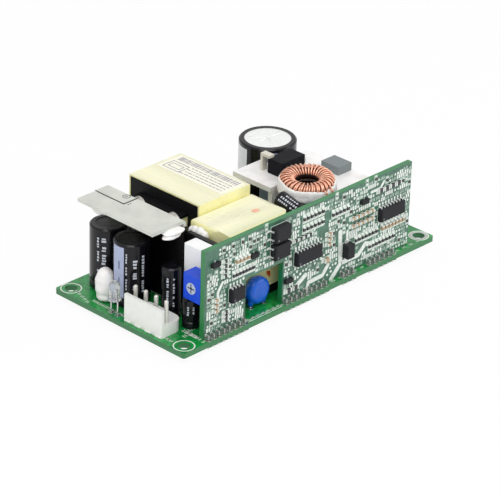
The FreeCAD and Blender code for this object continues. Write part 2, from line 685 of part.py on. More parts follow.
def sheet_tab(x, y, along_x=False):
    """Solder tab of a heatsink's leg, through the main board."""
    half = HEATSINK_TAB_WIDTH / 2
    reach = math.hypot(HEATSINK_TAB_WIDTH, x[1] - x[0] if not along_x else y[1] - y[0]) / 2
    centre_x = (x[0] + x[1]) / 2 if not along_x else x
    centre_y = y if not along_x else (y[0] + y[1]) / 2
    board_hole(centre_x, centre_y, reach)
    solder(centre_x, centre_y, reach, True)
    if along_x:
        return box((centre_x - half, centre_x + half), y, (0, BOARD_TOP))
    return box(x, (centre_y - half, centre_y + half), (0, BOARD_TOP))


def output_heatsinks():
    """Bent aluminium heatsink over the output capacitors, and the small one let into its corner."""
    leg = (HEATSINK_FOLD_X - SHEET, HEATSINK_FOLD_X)
    split = SECOND_SINK_FRONT - SINK_GAP
    main_y = (HEATSINK_FRONT, split)
    main = folded_sheet(HEATSINK_FREE_X, HEATSINK_FOLD_X, main_y, HEATSINK_TOP, BOARD_TOP, SHEET)
    wing_x = HEATSINK_FOLD_X - SECOND_SINK_DEPTH - SINK_GAP
    wing = box((HEATSINK_FREE_X, wing_x), (split, HEATSINK_BACK), (HEATSINK_TOP - SHEET, HEATSINK_TOP))
    tabs = [sheet_tab(leg, y) for y in (HEATSINK_FRONT + HEATSINK_TAB_INSET, split - HEATSINK_TAB_INSET)]
    second_x = HEATSINK_FOLD_X - SECOND_SINK_DEPTH
    second_y = (SECOND_SINK_FRONT, HEATSINK_BACK + SECOND_SINK_PROUD)
    second = folded_sheet(second_x, HEATSINK_FOLD_X, second_y, HEATSINK_TOP, BOARD_TOP, SHEET)
    second_tab = sheet_tab(leg, second_y[1] - HEATSINK_TAB_INSET)
    main = fuse_all([main, wing] + tabs)
    second = fuse_all([second, second_tab])
    screw_z = package_screw_height()
    for i, (name, solid) in enumerate((("output_heatsink", main), ("second_output_heatsink", second))):
        at = V(leg[0], rectifier_front(i) + PACKAGE_WIDTH / 2, screw_z)
        keep(name, solid.cut(Part.makeCylinder(SCREW_RADIUS, SHEET, at, V(1, 0, 0))))
    film_x = (leg[0] - FILM_THICKNESS, leg[0])
    film_y = (HEATSINK_FRONT, split - FILM_MARGIN)
    film_z = (BOARD_TOP + FILM_MARGIN, HEATSINK_TOP - HEATSINK_BEND - FILM_MARGIN)
    face = box(film_x, film_y, film_z)
    edge = box((film_x[0], leg[1]), (film_y[0] - FILM_THICKNESS, film_y[0]), film_z)
    keep("heatsink_film", face.fuse(edge).removeSplitter())


def rectifier_front(i):
    """Front of the first or second output rectifier, each placed from its own heatsink."""
    return (HEATSINK_FRONT + RECTIFIER_INSET, SECOND_SINK_FRONT - SECOND_RECTIFIER_OVERHANG)[i]


def package_screw_height():
    return BOARD_TOP + PACKAGE_STANDOFF + PACKAGE_HEIGHT + PACKAGE_HOLE_HEIGHT


def power_package(body_name, lead_name, screw_name, face, origin, out):
    """Package on a heatsink's leg. origin is its lower corner on the face, out points away."""
    across = V(0, 1, 0) if abs(out.x) > 0.5 else V(1, 0, 0)

    def block(a, b, c):
        """Box given across the face, away from it and upwards."""
        low = origin + across * a[0] + out * b[0] + V(0, 0, c[0])
        high = origin + across * a[1] + out * b[1] + V(0, 0, c[1])
        return box(sorted((low.x, high.x)), sorted((low.y, high.y)), (low.z, high.z))

    top = PACKAGE_HEIGHT
    moulding = block((0, PACKAGE_WIDTH), (0, PACKAGE_THICKNESS), (0, top))
    tab = block((0.2, PACKAGE_WIDTH - 0.2), (0, PACKAGE_TAB_THICKNESS), (top, top + PACKAGE_TAB_HEIGHT))
    centre = origin + across * (PACKAGE_WIDTH / 2) + V(0, 0, top + PACKAGE_HOLE_HEIGHT)
    hole = Part.makeCylinder(SCREW_RADIUS, PACKAGE_TAB_THICKNESS, centre, out)
    keep(body_name, moulding.fuse(tab).removeSplitter().cut(hole))
    shank = Part.makeCylinder(SCREW_RADIUS, PACKAGE_TAB_THICKNESS + face, centre - out * face, out)
    head_at = centre + out * PACKAGE_TAB_THICKNESS
    head = Part.makeCylinder(SCREW_HEAD_RADIUS, SCREW_HEAD_HEIGHT, head_at, out)
    half_head = SCREW_HEAD_HEIGHT / 2
    recess = Part.makeCylinder(SCREW_RADIUS * 0.6, half_head, head_at + out * half_head, out)
    keep(screw_name, shank.fuse(head).cut(recess))
    middle = PACKAGE_THICKNESS * 0.55
    for i in (-1, 0, 1):
        at = origin + across * (PACKAGE_WIDTH / 2 + i * PACKAGE_LEAD_PITCH) + out * middle
        half_a = PACKAGE_LEAD_WIDTH / 2
        half_b = PACKAGE_LEAD_THICKNESS / 2
        reach = math.hypot(half_a, half_b)
        board_hole(at.x, at.y, reach)
        solder(at.x, at.y, reach, False)
        a = PACKAGE_WIDTH / 2 + i * PACKAGE_LEAD_PITCH
        keep(lead_name, block((a - half_a, a + half_a), (middle - half_b, middle + half_b), (-origin.z, 0)))


def output_rectifiers():
    for i in range(2):
        origin = V(HEATSINK_FOLD_X, rectifier_front(i), BOARD_TOP + PACKAGE_STANDOFF)
        power_package("output_rectifiers", "package_leads", "heatsink_screws", SHEET, origin, V(1, 0, 0))


def transformer():
    """Two core halves on a flanged bobbin with its winding, all bound by a band of tape."""
    x = (CORE_LEFT, CORE_RIGHT)
    y = (CORE_FRONT, CORE_BACK)
    window_z = (CORE_BOTTOM + CORE_PLATE, CORE_TOP - CORE_PLATE)
    middle = (y[0] + y[1]) / 2
    half_leg = CORE_CENTRE_LEG / 2
    windows = [(y[0] + CORE_LEG, middle - half_leg), (middle + half_leg, y[1] - CORE_LEG)]
    core = box(x, y, (CORE_BOTTOM, CORE_TOP))
    for window in windows:
        core = core.cut(box(x, window, window_z))
    split = (CORE_BOTTOM + CORE_TOP) / 2
    keep("transformer_core", core.common(box(x, y, (CORE_BOTTOM, split))),
         core.common(box(x, y, (split, CORE_TOP))))

    gap = CORE_CLEARANCE
    slot_x = (x[0] - gap, x[1] + gap)
    slot_y = (windows[0][1] - gap, windows[1][0] + gap)
    tube_x = (slot_x[0] - BOBBIN_WALL, slot_x[1] + BOBBIN_WALL)
    tube_y = (slot_y[0] - BOBBIN_WALL, slot_y[1] + BOBBIN_WALL)
    flange_x = (tube_x[0] - WINDING_BULGE, tube_x[1] + WINDING_BULGE)
    flange_y = (windows[0][0] + gap, windows[1][1] - gap)
    low = (window_z[0] + gap, window_z[0] + gap + BOBBIN_FLANGE)
    high = (window_z[1] - gap - BOBBIN_FLANGE, window_z[1] - gap)
    slot = box(slot_x, slot_y, (low[0] - 1, high[1] + 1))
    tube = box(tube_x, tube_y, (low[0], high[1]))
    parts = [tube, box(flange_x, flange_y, low), box(flange_x, flange_y, high)]
    rail_gap = TAPE_OVERHANG + RAIL_CLEARANCE
    rail_x = ((x[0] - rail_gap - RAIL_REACH, x[0] - rail_gap),
              (x[1] + rail_gap, x[1] + rail_gap + RAIL_REACH))
    for rail in rail_x:
        parts.append(box(rail, flange_y, (BOARD_TOP, low[0])))
    keep("transformer_bobbin", fuse_all(parts).cut(slot))
    wound_x = (flange_x[0] + WINDING_INSET, flange_x[1] - WINDING_INSET)
    wound_y = (flange_y[0] + WINDING_INSET, flange_y[1] - WINDING_INSET)
    keep("transformer_winding", box(wound_x, wound_y, (low[1], high[0])).cut(tube))

    band_y = (y[0] - TAPE_THICKNESS, y[1] + TAPE_THICKNESS)
    band_z = (CORE_BOTTOM - TAPE_THICKNESS, CORE_TOP + TAPE_THICKNESS)
    band = box((x[0] - TAPE_OVERHANG, x[1] + TAPE_OVERHANG), band_y, band_z)
    inside = box((x[0] - 1, x[1] + 1), y, (CORE_BOTTOM, CORE_TOP))
    keep("transformer_tape", band.cut(inside))
    label_x = x[1] - LABEL_INSET
    label_y = (middle - LABEL_LENGTH / 2, middle + LABEL_LENGTH / 2)
    label_z = (band_z[1], band_z[1] + LABEL_THICKNESS)
    keep("transformer_label", box((label_x - LABEL_WIDTH, label_x), label_y, label_z))
    for rail in rail_x:
        for i in range(TRANSFORMER_PIN_COUNT):
            pin_y = middle + (i - (TRANSFORMER_PIN_COUNT - 1) / 2) * TRANSFORMER_PIN_PITCH
            pin = round_lead((rail[0] + rail[1]) / 2, pin_y, BOARD_TOP, TRANSFORMER_PIN_RADIUS)
            keep("transformer_pins", pin)


def taped_choke():
    """Choke wound in yellow tape, rounded in plan and round its top, on a low moulded base."""
    x = (CHOKE_LEFT, CHOKE_LEFT + CHOKE_LENGTH)
    y = (CONTROL_BACK + CHOKE_FROM_CONTROL, CHOKE_BACK)
    base_top = BOARD_TOP + CHOKE_BASE_HEIGHT
    block = box(x, y, (base_top, CHOKE_TOP))

    def rounded(*corners):
        """Block with edges rounded: each corner is two of its limits, as (axis, value), and a radius."""
        solid = block
        for (axis_a, at_a), (axis_b, at_b), radius in corners:
            edges = []
            for edge in solid.Edges:
                off = [abs(v.Point[axis_a] - at_a) + abs(v.Point[axis_b] - at_b) for v in edge.Vertexes]
                if len(off) == 2 and max(off) < 1e-6:
                    edges.append(edge)
            solid = solid.makeFillet(radius, edges)
        return solid

    left, right, front, back, top = (0, x[0]), (0, x[1]), (1, y[0]), (1, y[1]), (2, CHOKE_TOP)
    plan = rounded((left, front, CHOKE_FRONT_ROUND), (right, front, CHOKE_FRONT_ROUND))
    side = rounded((left, top, CHOKE_EDGE), (right, top, CHOKE_END_ROUND))
    end = rounded((front, top, CHOKE_END_ROUND), (back, top, CHOKE_EDGE))
    keep("choke_winding", plan.common(side).common(end))
    inset = CHOKE_BASE_INSET
    base_x = (x[0] + inset, x[1] - inset)
    base_y = (y[0] + inset, y[1] - inset)
    keep("choke_bases", rounded_box(base_x, base_y, (BOARD_TOP, base_top), CHOKE_BASE_CORNER))
    for px in (x[0] + CHOKE_PIN_INSET, x[1] - CHOKE_PIN_INSET):
        for py in (y[0] + CHOKE_PIN_INSET, y[1] - CHOKE_PIN_INSET):
            foot = py > (y[0] + y[1]) / 2
            keep("transformer_pins", round_lead(px, py, BOARD_TOP, CHOKE_PIN_RADIUS, foot))


def boxed_capacitor():
    """White boxed capacitor and the dark barrier sheet that stands against its back."""
    x = (BOX_CAP_RIGHT - BOX_CAP_THICKNESS, BOX_CAP_RIGHT)
    front = CONTROL_BACK + BOX_CAP_FROM_CONTROL
    y = (front, front + BOX_CAP_LENGTH)
    keep("boxed_capacitor", rounded_box(x, y, (BOARD_TOP, BOARD_TOP + BOX_CAP_HEIGHT), BOX_CAP_EDGE))
    middle = (x[0] + x[1]) / 2, (y[0] + y[1]) / 2
    capacitor_leads(*middle, OUTPUT_CAP_LEAD_PITCH, CAP_LEAD_RADIUS, BOARD_TOP)
    barrier_x = (BARRIER_RIGHT - BARRIER_THICKNESS, BARRIER_RIGHT)
    barrier_y = (y[0], y[0] + BARRIER_LENGTH)
    keep("barrier_sheet", box(barrier_x, barrier_y, (BOARD_TOP, BOARD_TOP + BARRIER_HEIGHT)))


def primary_heatsink():
    """Level aluminium plate on an upright web, with what is clamped to it."""
    z = (PLATE_TOP - PLATE_SHEET, PLATE_TOP)
    back = BACK_EDGE - PLATE_FROM_BACK
    cut_x = BULK_CAP_X - PLATE_CUT_FROM_BULK
    cut_y = BULK_CAP_Y - BULK_CAP_RADIUS - PLATE_CUT_GAP
    outline = [(PLATE_LEFT, back), (cut_x, back), (cut_x, cut_y), (PLATE_RIGHT, cut_y),
               (PLATE_RIGHT, PLATE_FRONT), (PLATE_STEP_X, PLATE_FRONT), (PLATE_STEP_X, WEB_FRONT),
               (PLATE_LEFT, WEB_FRONT)]
    plate = prism([V(x, y, z[0]) for x, y in outline], V(0, 0, PLATE_SHEET))
    web_x = (PLATE_LEFT + WEB_INSET, PLATE_RIGHT - WEB_INSET)
    web_y = (WEB_FRONT, WEB_FRONT + PLATE_SHEET)
    web = box(web_x, web_y, (BOARD_TOP, z[0]))
    tab_x = (web_x[0] + PLATE_TAB_INSET, web_x[1] - PLATE_TAB_INSET)
    tabs = [sheet_tab(x, web_y, along_x=True) for x in tab_x]
    sink = fuse_all([plate, web] + tabs)
    screw_z = package_screw_height() - TRANSISTOR_DROP
    screw = V(TRANSISTOR_X + PACKAGE_WIDTH / 2, web_y[1], screw_z)
    sink = sink.cut(Part.makeCylinder(SCREW_RADIUS, PLATE_SHEET, screw, V(0, -1, 0)))

    block_left = PLATE_LEFT + BLOCK_FROM_PLATE_LEFT
    block_x = (block_left, block_left + BLOCK_LENGTH)
    block_front = WEB_FRONT + BLOCK_BEHIND_WEB
    block_y = (block_front, block_front + BLOCK_WIDTH)
    block_z = (PLATE_TOP, PLATE_TOP + BLOCK_HEIGHT)
    keep("boost_diode", box(block_x, block_y, block_z))
    lead_z = PLATE_TOP + BLOCK_HEIGHT / 2
    drop_x = block_x[1] + BLOCK_LEAD_RUN
    hole = DISC_LEAD_RADIUS + PLATE_HOLE_CLEARANCE
    for s in (-0.5, 0.5):
        y = (block_y[0] + block_y[1]) / 2 + s * PACKAGE_LEAD_PITCH
        upright = round_lead(drop_x, y, lead_z, DISC_LEAD_RADIUS)
        elbow = Part.makeSphere(DISC_LEAD_RADIUS, V(drop_x, y, lead_z))
        run = Part.makeCylinder(DISC_LEAD_RADIUS, BLOCK_LEAD_RUN, V(block_x[1], y, lead_z), V(1, 0, 0))
        keep("component_leads", fuse_all([upright, elbow, run]))
        sink = sink.cut(cylinder(drop_x, y, hole, z))

    clip_x = (block_x[0] - CLIP_SIDE, block_x[0] - CLIP_SIDE + CLIP_WIDTH)
    clip_y = (block_y[1] - CLIP_LAP, block_y[1] - CLIP_LAP + CLIP_LENGTH)
    clip_z = (block_z[1], block_z[1] + CLIP_SHEET)
    wall = box(clip_x, (clip_y[1] - CLIP_SHEET, clip_y[1]), (PLATE_TOP, clip_z[1]))
    keep("diode_clip", wall.fuse(box(clip_x, clip_y, clip_z)).removeSplitter())

    grey_x = (PLATE_RIGHT - GREY_BOX_FROM_RIGHT - GREY_BOX_LENGTH, PLATE_RIGHT - GREY_BOX_FROM_RIGHT)
    grey_front = PLATE_FRONT + GREY_BOX_FROM_PLATE_FRONT
    grey_y = (grey_front, grey_front + GREY_BOX_WIDTH)
    keep("thermal_switch", box(grey_x, grey_y, (PLATE_TOP, PLATE_TOP + GREY_BOX_HEIGHT)))
    inset_x, inset_y = GREY_BOX_PIN_INSET
    for x in (grey_x[0] + inset_x, grey_x[1] - inset_x):
        y = grey_y[1] - inset_y
        keep("component_leads", round_lead(x, y, PLATE_TOP, DISC_LEAD_RADIUS))
        sink = sink.cut(cylinder(x, y, hole, z))
    keep("primary_heatsink", sink)


def primary_packages():
    """Switching transistor and bridge rectifier on the two faces of the primary heatsink's web."""
    origin = V(TRANSISTOR_X, WEB_FRONT, BOARD_TOP + PACKAGE_STANDOFF - TRANSISTOR_DROP)
    power_package("primary_transistor", "package_leads", "heatsink_screws", PLATE_SHEET, origin, V(0, -1, 0))
    left = PLATE_LEFT + BRIDGE_FROM_PLATE_LEFT
    front = WEB_FRONT + PLATE_SHEET
    bottom = BOARD_TOP + BRIDGE_STANDOFF
    height = (bottom, bottom + BRIDGE_HEIGHT)
    bridge = box((left, left + BRIDGE_LENGTH), (front, front + BRIDGE_WIDTH), height)
    keep("bridge_rectifier", bridge)
    pin_y = front + BRIDGE_WIDTH / 2 + BRIDGE_PIN_OFFSET
    for i in range(4):
        pin_x = left + BRIDGE_LENGTH / 2 + (i - 1.5) * BRIDGE_PIN_PITCH
        keep("package_leads", round_lead(pin_x, pin_y, bottom, BRIDGE_PIN_RADIUS))


def octagon(radius, section, start):
    """Half section of a ring: eight corners about its centre circle."""
    corners = []
    for i in range(8):
        angle = math.radians(start + 45 * i)
        corners.append((radius + section * math.cos(angle), section * math.sin(angle)))
    return corners


def ring_sector(outline, centre, angle):
    """Ring section swept about the vertical through centre, by angle degrees from the +X side."""
    wire = Part.makePolygon([centre + V(r, 0, h) for r, h in outline + outline[:1]])
    return Part.Face(wire).revolve(centre, V(0, 0, 1), angle)


def toroid():
    """Toroid lying on the primary heatsink, its turns separate all round."""
    section = TOROID_SECTION
    height = section * math.cos(math.radians(22.5))
    centre = V(TOROID_X, TOROID_Y, PLATE_TOP + TOROID_BED + height)
    inner = section - TOROID_WINDING
    keep("toroid_core", ring_sector(octagon(TOROID_RADIUS, inner - SLEEVE_CLEARANCE, 22.5), centre, 360))
    step = 360 / TOROID_TURNS
    turn = ring_sector(octagon(TOROID_RADIUS, section, 22.5), centre, step * TURN_FILL)
    turn = turn.cut(ring_sector(octagon(TOROID_RADIUS, inner, 22.5), centre, 360))
    for i in range(TOROID_TURNS):
        keep("toroid_winding", turn.rotated(centre, V(0, 0, 1), i * step))

    outer = TOROID_RADIUS + height + ADHESIVE_SKIRT
    shelf = TOROID_RADIUS + section * math.sin(math.radians(22.5)) + SIDE_GAP
    bed = TOROID_BED - SLEEVE_CLEARANCE
    hole = TOROID_RADIUS - 1
    skirt = [(hole, 0), (outer, 0), (outer, ADHESIVE_RIM - 0.3), (outer - 0.2, ADHESIVE_RIM),
             (shelf, bed), (hole, bed)]
    keep("adhesive", turned(skirt, TOROID_X, TOROID_Y, PLATE_TOP).cut(Part.makeCompound(skirt_cuts)))

    lead_y = TOROID_Y - outer - TOROID_LEAD_RADIUS - ADHESIVE_CLEARANCE
    edge = TOROID_Y - TOROID_RADIUS - height
    for s in (-0.5, 0.5):
        x = TOROID_X + s * TOROID_LEAD_SPACING
        upright = round_lead(x, lead_y, centre.z, TOROID_LEAD_RADIUS)
        elbow = Part.makeSphere(TOROID_LEAD_RADIUS, V(x, lead_y, centre.z))
        reach = edge - lead_y - SLEEVE_CLEARANCE
        run = Part.makeCylinder(TOROID_LEAD_RADIUS, reach, V(x, lead_y, centre.z), V(0, 1, 0))
        keep("toroid_winding", fuse_all([upright, elbow, run]))


def adhesive():
    """White silicone that holds the output parts: a tall bead, a drop, a tongue and a pad."""
    (first_x, first_y), (second_x, second_y) = output_capacitor_places()
    bead_x = second_x - BEAD_FROM_CAP
    bead_y = (first_y + second_y) / 2 - BEAD_FROM_MIDDLE
    shoulder = BOARD_TOP + BEAD_HEIGHT - BEAD_RADIUS
    bead = cylinder(bead_x, bead_y, BEAD_RADIUS, (BOARD_TOP, shoulder))
    bead = bead.fuse(Part.makeSphere(BEAD_RADIUS, V(bead_x, bead_y, shoulder))).removeSplitter()
    clear = OUTPUT_CAP_RADIUS + ADHESIVE_CLEARANCE
    keep("adhesive", bead.cut(cylinder(second_x, second_y, clear, (BOARD_TOP, HEATSINK_TOP))))
    under = HEATSINK_TOP - SHEET
    drop_x, drop_y = first_x + DROP_OFFSET[0], first_y + DROP_OFFSET[1]
    keep("adhesive", cylinder(drop_x, drop_y, DROP_RADIUS, (under - DROP_HEIGHT, under)))
    leg_x = HEATSINK_FOLD_X - SHEET - FILM_THICKNESS - ADHESIVE_CLEARANCE
    tongue_left = leg_x - TONGUE_LENGTH
    front = HEATSINK_FRONT - FILM_THICKNESS - ADHESIVE_CLEARANCE
    low = under - TONGUE_BELOW - TONGUE_THICKNESS
    layer = (low, low + TONGUE_THICKNESS)
    lip = rounded_box((tongue_left, leg_x), (front - TONGUE_REACH, front), layer, TONGUE_REACH * 0.45)
    root_x = tongue_left + TONGUE_STEP
    root_back = front + TONGUE_ROOT
    root = box((root_x, leg_x), (front - TONGUE_STEP, root_back), layer)
    pad = box((root_x, leg_x - 2 * TONGUE_STEP), (HEATSINK_FRONT + TONGUE_STEP / 2, root_back), (low, under))
    keep("adhesive", fuse_all([lip, root, pad]))
    pad_y = (CHOKE_BACK - CHOKE_EDGE - PAD_LENGTH, CHOKE_BACK - CHOKE_EDGE)
    pad_z = (CHOKE_TOP - CHOKE_EDGE - PAD_HEIGHT, CHOKE_TOP - CHOKE_EDGE)
    keep("adhesive", box((BARRIER_RIGHT, CHOKE_LEFT), pad_y, pad_z))


def line_parts():
    """Line filter, fuse and inrush limiter at the input end."""
    ring_z = BOARD_TOP + CHOKE_RING_BASE
    base = cylinder(CHOKE_RING_X, CHOKE_RING_Y, CHOKE_RING_RADIUS + CHOKE_RING_SECTION, (BOARD_TOP, ring_z))
    keep("choke_bases", base)
    centre = V(CHOKE_RING_X, CHOKE_RING_Y, ring_z + CHOKE_RING_HEIGHT / 2 + CHOKE_RING_WIRE)
    wire = CHOKE_RING_WIRE
    half_w = CHOKE_RING_SECTION - wire
    half_h = CHOKE_RING_HEIGHT / 2

    def oblong(grown):
        """Half section of the ring, grown all round."""
        r = (CHOKE_RING_RADIUS - half_w - grown, CHOKE_RING_RADIUS + half_w + grown)
        h = half_h + grown
        return [(r[0], -h), (r[1], -h), (r[1], h), (r[0], h)]

    ring = ring_sector(oblong(0), centre, 360)
    keep("filter_choke_core", ring)
    for start in (20, 200):
        sector = ring_sector(oblong(wire), centre, 140).cut(ring)
        keep("filter_choke_windings", sector.rotated(centre, V(0, 0, 1), start))
    for s in (45, 135, 225, 315):
        r = CHOKE_RING_RADIUS
        x = CHOKE_RING_X + r * math.cos(math.radians(s))
        y = CHOKE_RING_Y + r * math.sin(math.radians(s))
        keep("component_leads", round_lead(x, y, BOARD_TOP, LINE_LEAD_RADIUS))

    cap_left = INPUT_END - LINE_CAP_FROM_INPUT
    cap_front = FRONT_EDGE + LINE_CAP_FROM_FRONT
    cap_x = (cap_left, cap_left + LINE_CAP_THICKNESS)
    cap_y = (cap_front, cap_front + LINE_CAP_LENGTH)
    keep("line_capacitor", rounded_box(cap_x, cap_y, (BOARD_TOP, BOARD_TOP + LINE_CAP_HEIGHT), BOX_CAP_EDGE))
    for s in (-0.5, 0.5):
        y = (cap_y[0] + cap_y[1]) / 2 + s * (LINE_CAP_LENGTH - 2 * LINE_CAP_PIN_INSET)
        keep("component_leads", round_lead((cap_x[0] + cap_x[1]) / 2, y, BOARD_TOP, LINE_LEAD_RADIUS))

    fuse_x = INPUT_END - FUSE_FROM_INPUT
    fuse_y = FRONT_EDGE + FUSE_FROM_FRONT
    body = cylinder(fuse_x, fuse_y, FUSE_RADIUS, (BOARD_TOP, BOARD_TOP + FUSE_HEIGHT))
    rim = [e for e in body.Edges if len(e.Vertexes) == 1 and e.Vertexes[0].Z > BOARD_TOP + 1]
    keep("fuse", body.makeFillet(FUSE_EDGE, rim))
    for s in (-0.5, 0.5):
        keep("component_leads", round_lead(fuse_x + s * FUSE_LEAD_PITCH, fuse_y, BOARD_TOP, DISC_LEAD_RADIUS))
    limiter_x = INPUT_END - LIMITER_FROM_INPUT
    limiter_y = BACK_EDGE - LIMITER_FROM_BACK
    disc_part("inrush_limiter", limiter_x, limiter_y, LIMITER_RADIUS, LIMITER_THICKNESS, along_x=True)


def disc_part(name, x, y, radius, thickness, along_x=False):
    """Dipped disc on two leads, standing just clear of the board."""
    axis = V(1, 0, 0) if along_x else V(0, 1, 0)
    z = BOARD_TOP + DISC_STANDOFF + radius
    disc = Part.makeCylinder(radius, thickness, V(x, y, z) - axis * (thickness / 2), axis)
    rims = [e for e in disc.Edges if len(e.Vertexes) == 1]
    disc = disc.makeFillet(thickness * 0.42, rims)
    keep(name, disc)
    for s in (-0.5, 0.5):
        dx, dy = (0, s * DISC_LEAD_SPACING) if along_x else (s * DISC_LEAD_SPACING, 0)
        lead = round_lead(x + dx, y + dy, z, DISC_LEAD_RADIUS)
        keep("component_leads", lead.cut(disc).Solids[0])


def blue_capacitor():
    notch_left = CONTROL_LEFT + NOTCH_FROM_LEFT
    y = CONTROL_BACK + DISC_BEHIND_BOARD + DISC_THICKNESS / 2
    disc_part("disc_capacitor", notch_left + NOTCH_WIDTH * 0.6, y, DISC_RADIUS, DISC_THICKNESS)


def on_face(x, z, depth):
    """Box on the front of the control board; depth is its (near, far) distance from the face."""
    return box(x, (CONTROL_FACE - depth[1], CONTROL_FACE - depth[0]), z)


def gull_lead(u, v, direction, standoff, thickness, across_z):
    """Bent lead of a chip, from the body's side at v outwards; u is its place along the row."""
    mid = standoff + thickness / 2
    t = CHIP_LEAD_THICKNESS
    knee = CHIP_LEAD_REACH * 0.35
    outline = [(0, mid - t / 2), (knee - t / 2, mid - t / 2), (knee - t / 2, 0), (CHIP_LEAD_REACH, 0),
               (CHIP_LEAD_REACH, t), (knee + t / 2, t), (knee + t / 2, mid + t / 2), (0, mid + t / 2)]
    half = CHIP_LEAD_WIDTH / 2
    corners = []
    for out, depth in outline:
        along = v + direction * out
        if across_z:
            corners.append(V(u - half, CONTROL_FACE - depth, along))
        else:
            corners.append(V(along, CONTROL_FACE - depth, u - half))
    push = V(CHIP_LEAD_WIDTH, 0, 0) if across_z else V(0, 0, CHIP_LEAD_WIDTH)
    return prism(corners, push)


def small_outline_chip(x, z, pairs):
    """Chip with its lead rows above and below, placed by its lower left corner."""
    length = (pairs - 1) * CHIP_PITCH + 2 * CHIP_END
    depth = (CHIP_STANDOFF, CHIP_STANDOFF + CHIP_THICKNESS)
    body = on_face((x, x + length), (z, z + CHIP_WIDTH), depth)
    front = CONTROL_FACE - CHIP_STANDOFF - CHIP_THICKNESS
    rim = [e for e in body.Edges if max(abs(v.Y - front) for v in e.Vertexes) < 1e-6]
    keep("control_chips", body.makeChamfer(CHIP_CHAMFER, rim))
    for i in range(pairs):
        u = x + CHIP_END + i * CHIP_PITCH
        keep("control_chip_leads", gull_lead(u, z, -1, CHIP_STANDOFF, CHIP_THICKNESS, True))
        keep("control_chip_leads", gull_lead(u, z + CHIP_WIDTH, 1, CHIP_STANDOFF, CHIP_THICKNESS, True))


def optocoupler(x, z):
    depth = (CHIP_STANDOFF, CHIP_STANDOFF + OPTO_THICKNESS)
    body = on_face((x, x + OPTO_LENGTH), (z, z + OPTO_WIDTH), depth)
    front = CONTROL_FACE - CHIP_STANDOFF - OPTO_THICKNESS
    rim = [e for e in body.Edges if max(abs(v.Y - front) for v in e.Vertexes) < 1e-6]
    keep("optocouplers", body.makeChamfer(OPTO_CHAMFER, rim))
    for i in (-1, 1):
        u = z + OPTO_WIDTH / 2 + i * CHIP_PITCH
        keep("control_chip_leads", gull_lead(u, x, -1, CHIP_STANDOFF, OPTO_THICKNESS, False))
        keep("control_chip_leads", gull_lead(u, x + OPTO_LENGTH, 1, CHIP_STANDOFF, OPTO_THICKNESS, False))


def small_transistor(x, z):
    """Three-lead transistor centred on x, z."""
    across = (x - TRANSISTOR_HALF_LENGTH, x + TRANSISTOR_HALF_LENGTH)
    height = (z - TRANSISTOR_HALF_WIDTH, z + TRANSISTOR_HALF_WIDTH)
    keep("small_transistors", on_face(across, height, (0, TRANSISTOR_THICKNESS)))


def chip_rows(node, size, rows):
    """Rows of chip parts: first centre, count, step, and whether each one stands upright."""
    length, width, thickness = size
    for x, z, count, dx, dz, upright in rows:
        a, b = (width, length) if upright else (length, width)
        for i in range(count):
            cx, cz = laid_out(x + i * dx, z + i * dz)
            keep(node, on_face((cx - a / 2, cx + a / 2), (cz - b / 2, cz + b / 2), (0, thickness)))


def laid_out(x, z):
    """Place on the control board of a point of its layout, which stretches with the board's length."""
    return CONTROL_LEFT + x * (CONTROL_RIGHT - CONTROL_LEFT) / LAYOUT_LENGTH, BOARD_TOP + z


def control_parts():
    """Everything soldered to the front of the control board."""
    for x, z, pairs in ((9.3, 8.1, 4), (34.7, 10.1, 8), (69.0, 12.1, 8)):
        small_outline_chip(*laid_out(x, z), pairs)
    for z in (15.5, 20.7):
        optocoupler(*laid_out(25.1, z))
    for x, z in ((3.6, 21.6), (18.4, 19.2), (32.3, 6.5), (62.6, 20.6)):
        small_transistor(*laid_out(x, z))
    diode_x, diode_z = laid_out(54.7, 5.6)
    keep("power_diode", on_face((diode_x, diode_x + POWER_DIODE[0]), (diode_z, diode_z + POWER_DIODE[1]),
                                (0, POWER_DIODE[2])))
    resistors = [(7.6, 21.2, 4, 0, -1.5, False), (11.0, 15.6, 7, 1.25, 0, True),
                 (8.2, 5.6, 3, 0, -1.2, False), (38.2, 20.0, 6, 1.5, 0, True),
                 (38.2, 23.2, 6, 1.5, 0, True), (50.0, 20.6, 5, 1.5, 0, True),
                 (60.0, 9.2, 7, 1.45, 0, True), (66.0, 5.2, 8, 1.45, 0, True),
                 (35.0, 17.7, 4, 1.9, 0, False)]
    ceramics = [(4.2, 10.6, 3, 0, -1.6, False), (11.9, 19.6, 4, 1.4, 0, True), (48.5, 12.0, 3, 0, 1.6, False),
                (71.0, 9.3, 7, 1.45, 0, True), (58.2, 14.2, 5, 1.9, 0, False), (58.2, 16.6, 5, 1.9, 0, False)]
    large = [(69.5, 21.6, 4, 2.5, 0, False), (32.6, 3.2, 2, 2.8, 0, False)]
    chip_rows("chip_resistors", RESISTOR, resistors)
    chip_rows("chip_capacitors", CERAMIC, ceramics)
    chip_rows("chip_resistors", LARGE_RESISTOR, large)
    chip_rows("chip_capacitors", LARGE_CERAMIC, [(47.6, 7.5, 1, 0, 0, False)])


def export():
    keep("solder_feet", *feet)
    keep("solder_points", *points)
    os.makedirs("parts", exist_ok=True)
    for name, solids in nodes.items():
        shape = solids[0] if len(solids) == 1 else Part.makeCompound(solids)
        shape.exportStep("parts/" + name + ".step")


control_pins()
header(-1, OUTPUT_PIN_COUNT, None, "output")
header(1, INPUT_PIN_COUNT, 1, "input")
upright_capacitors()
lying_capacitor()
indicator_lamp()
trimmer()
output_heatsinks()
output_rectifiers()
transformer()
taped_choke()
boxed_capacitor()
primary_heatsink()
primary_packages()
toroid()
adhesive()
line_parts()
blue_capacitor()
control_parts()
control_board()
main_board()
export()
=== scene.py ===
import math
import random

import bmesh
import bpy
from bpy.props import FloatProperty, FloatVectorProperty, IntProperty, PointerProperty
from mathutils import Matrix, Vector, noise


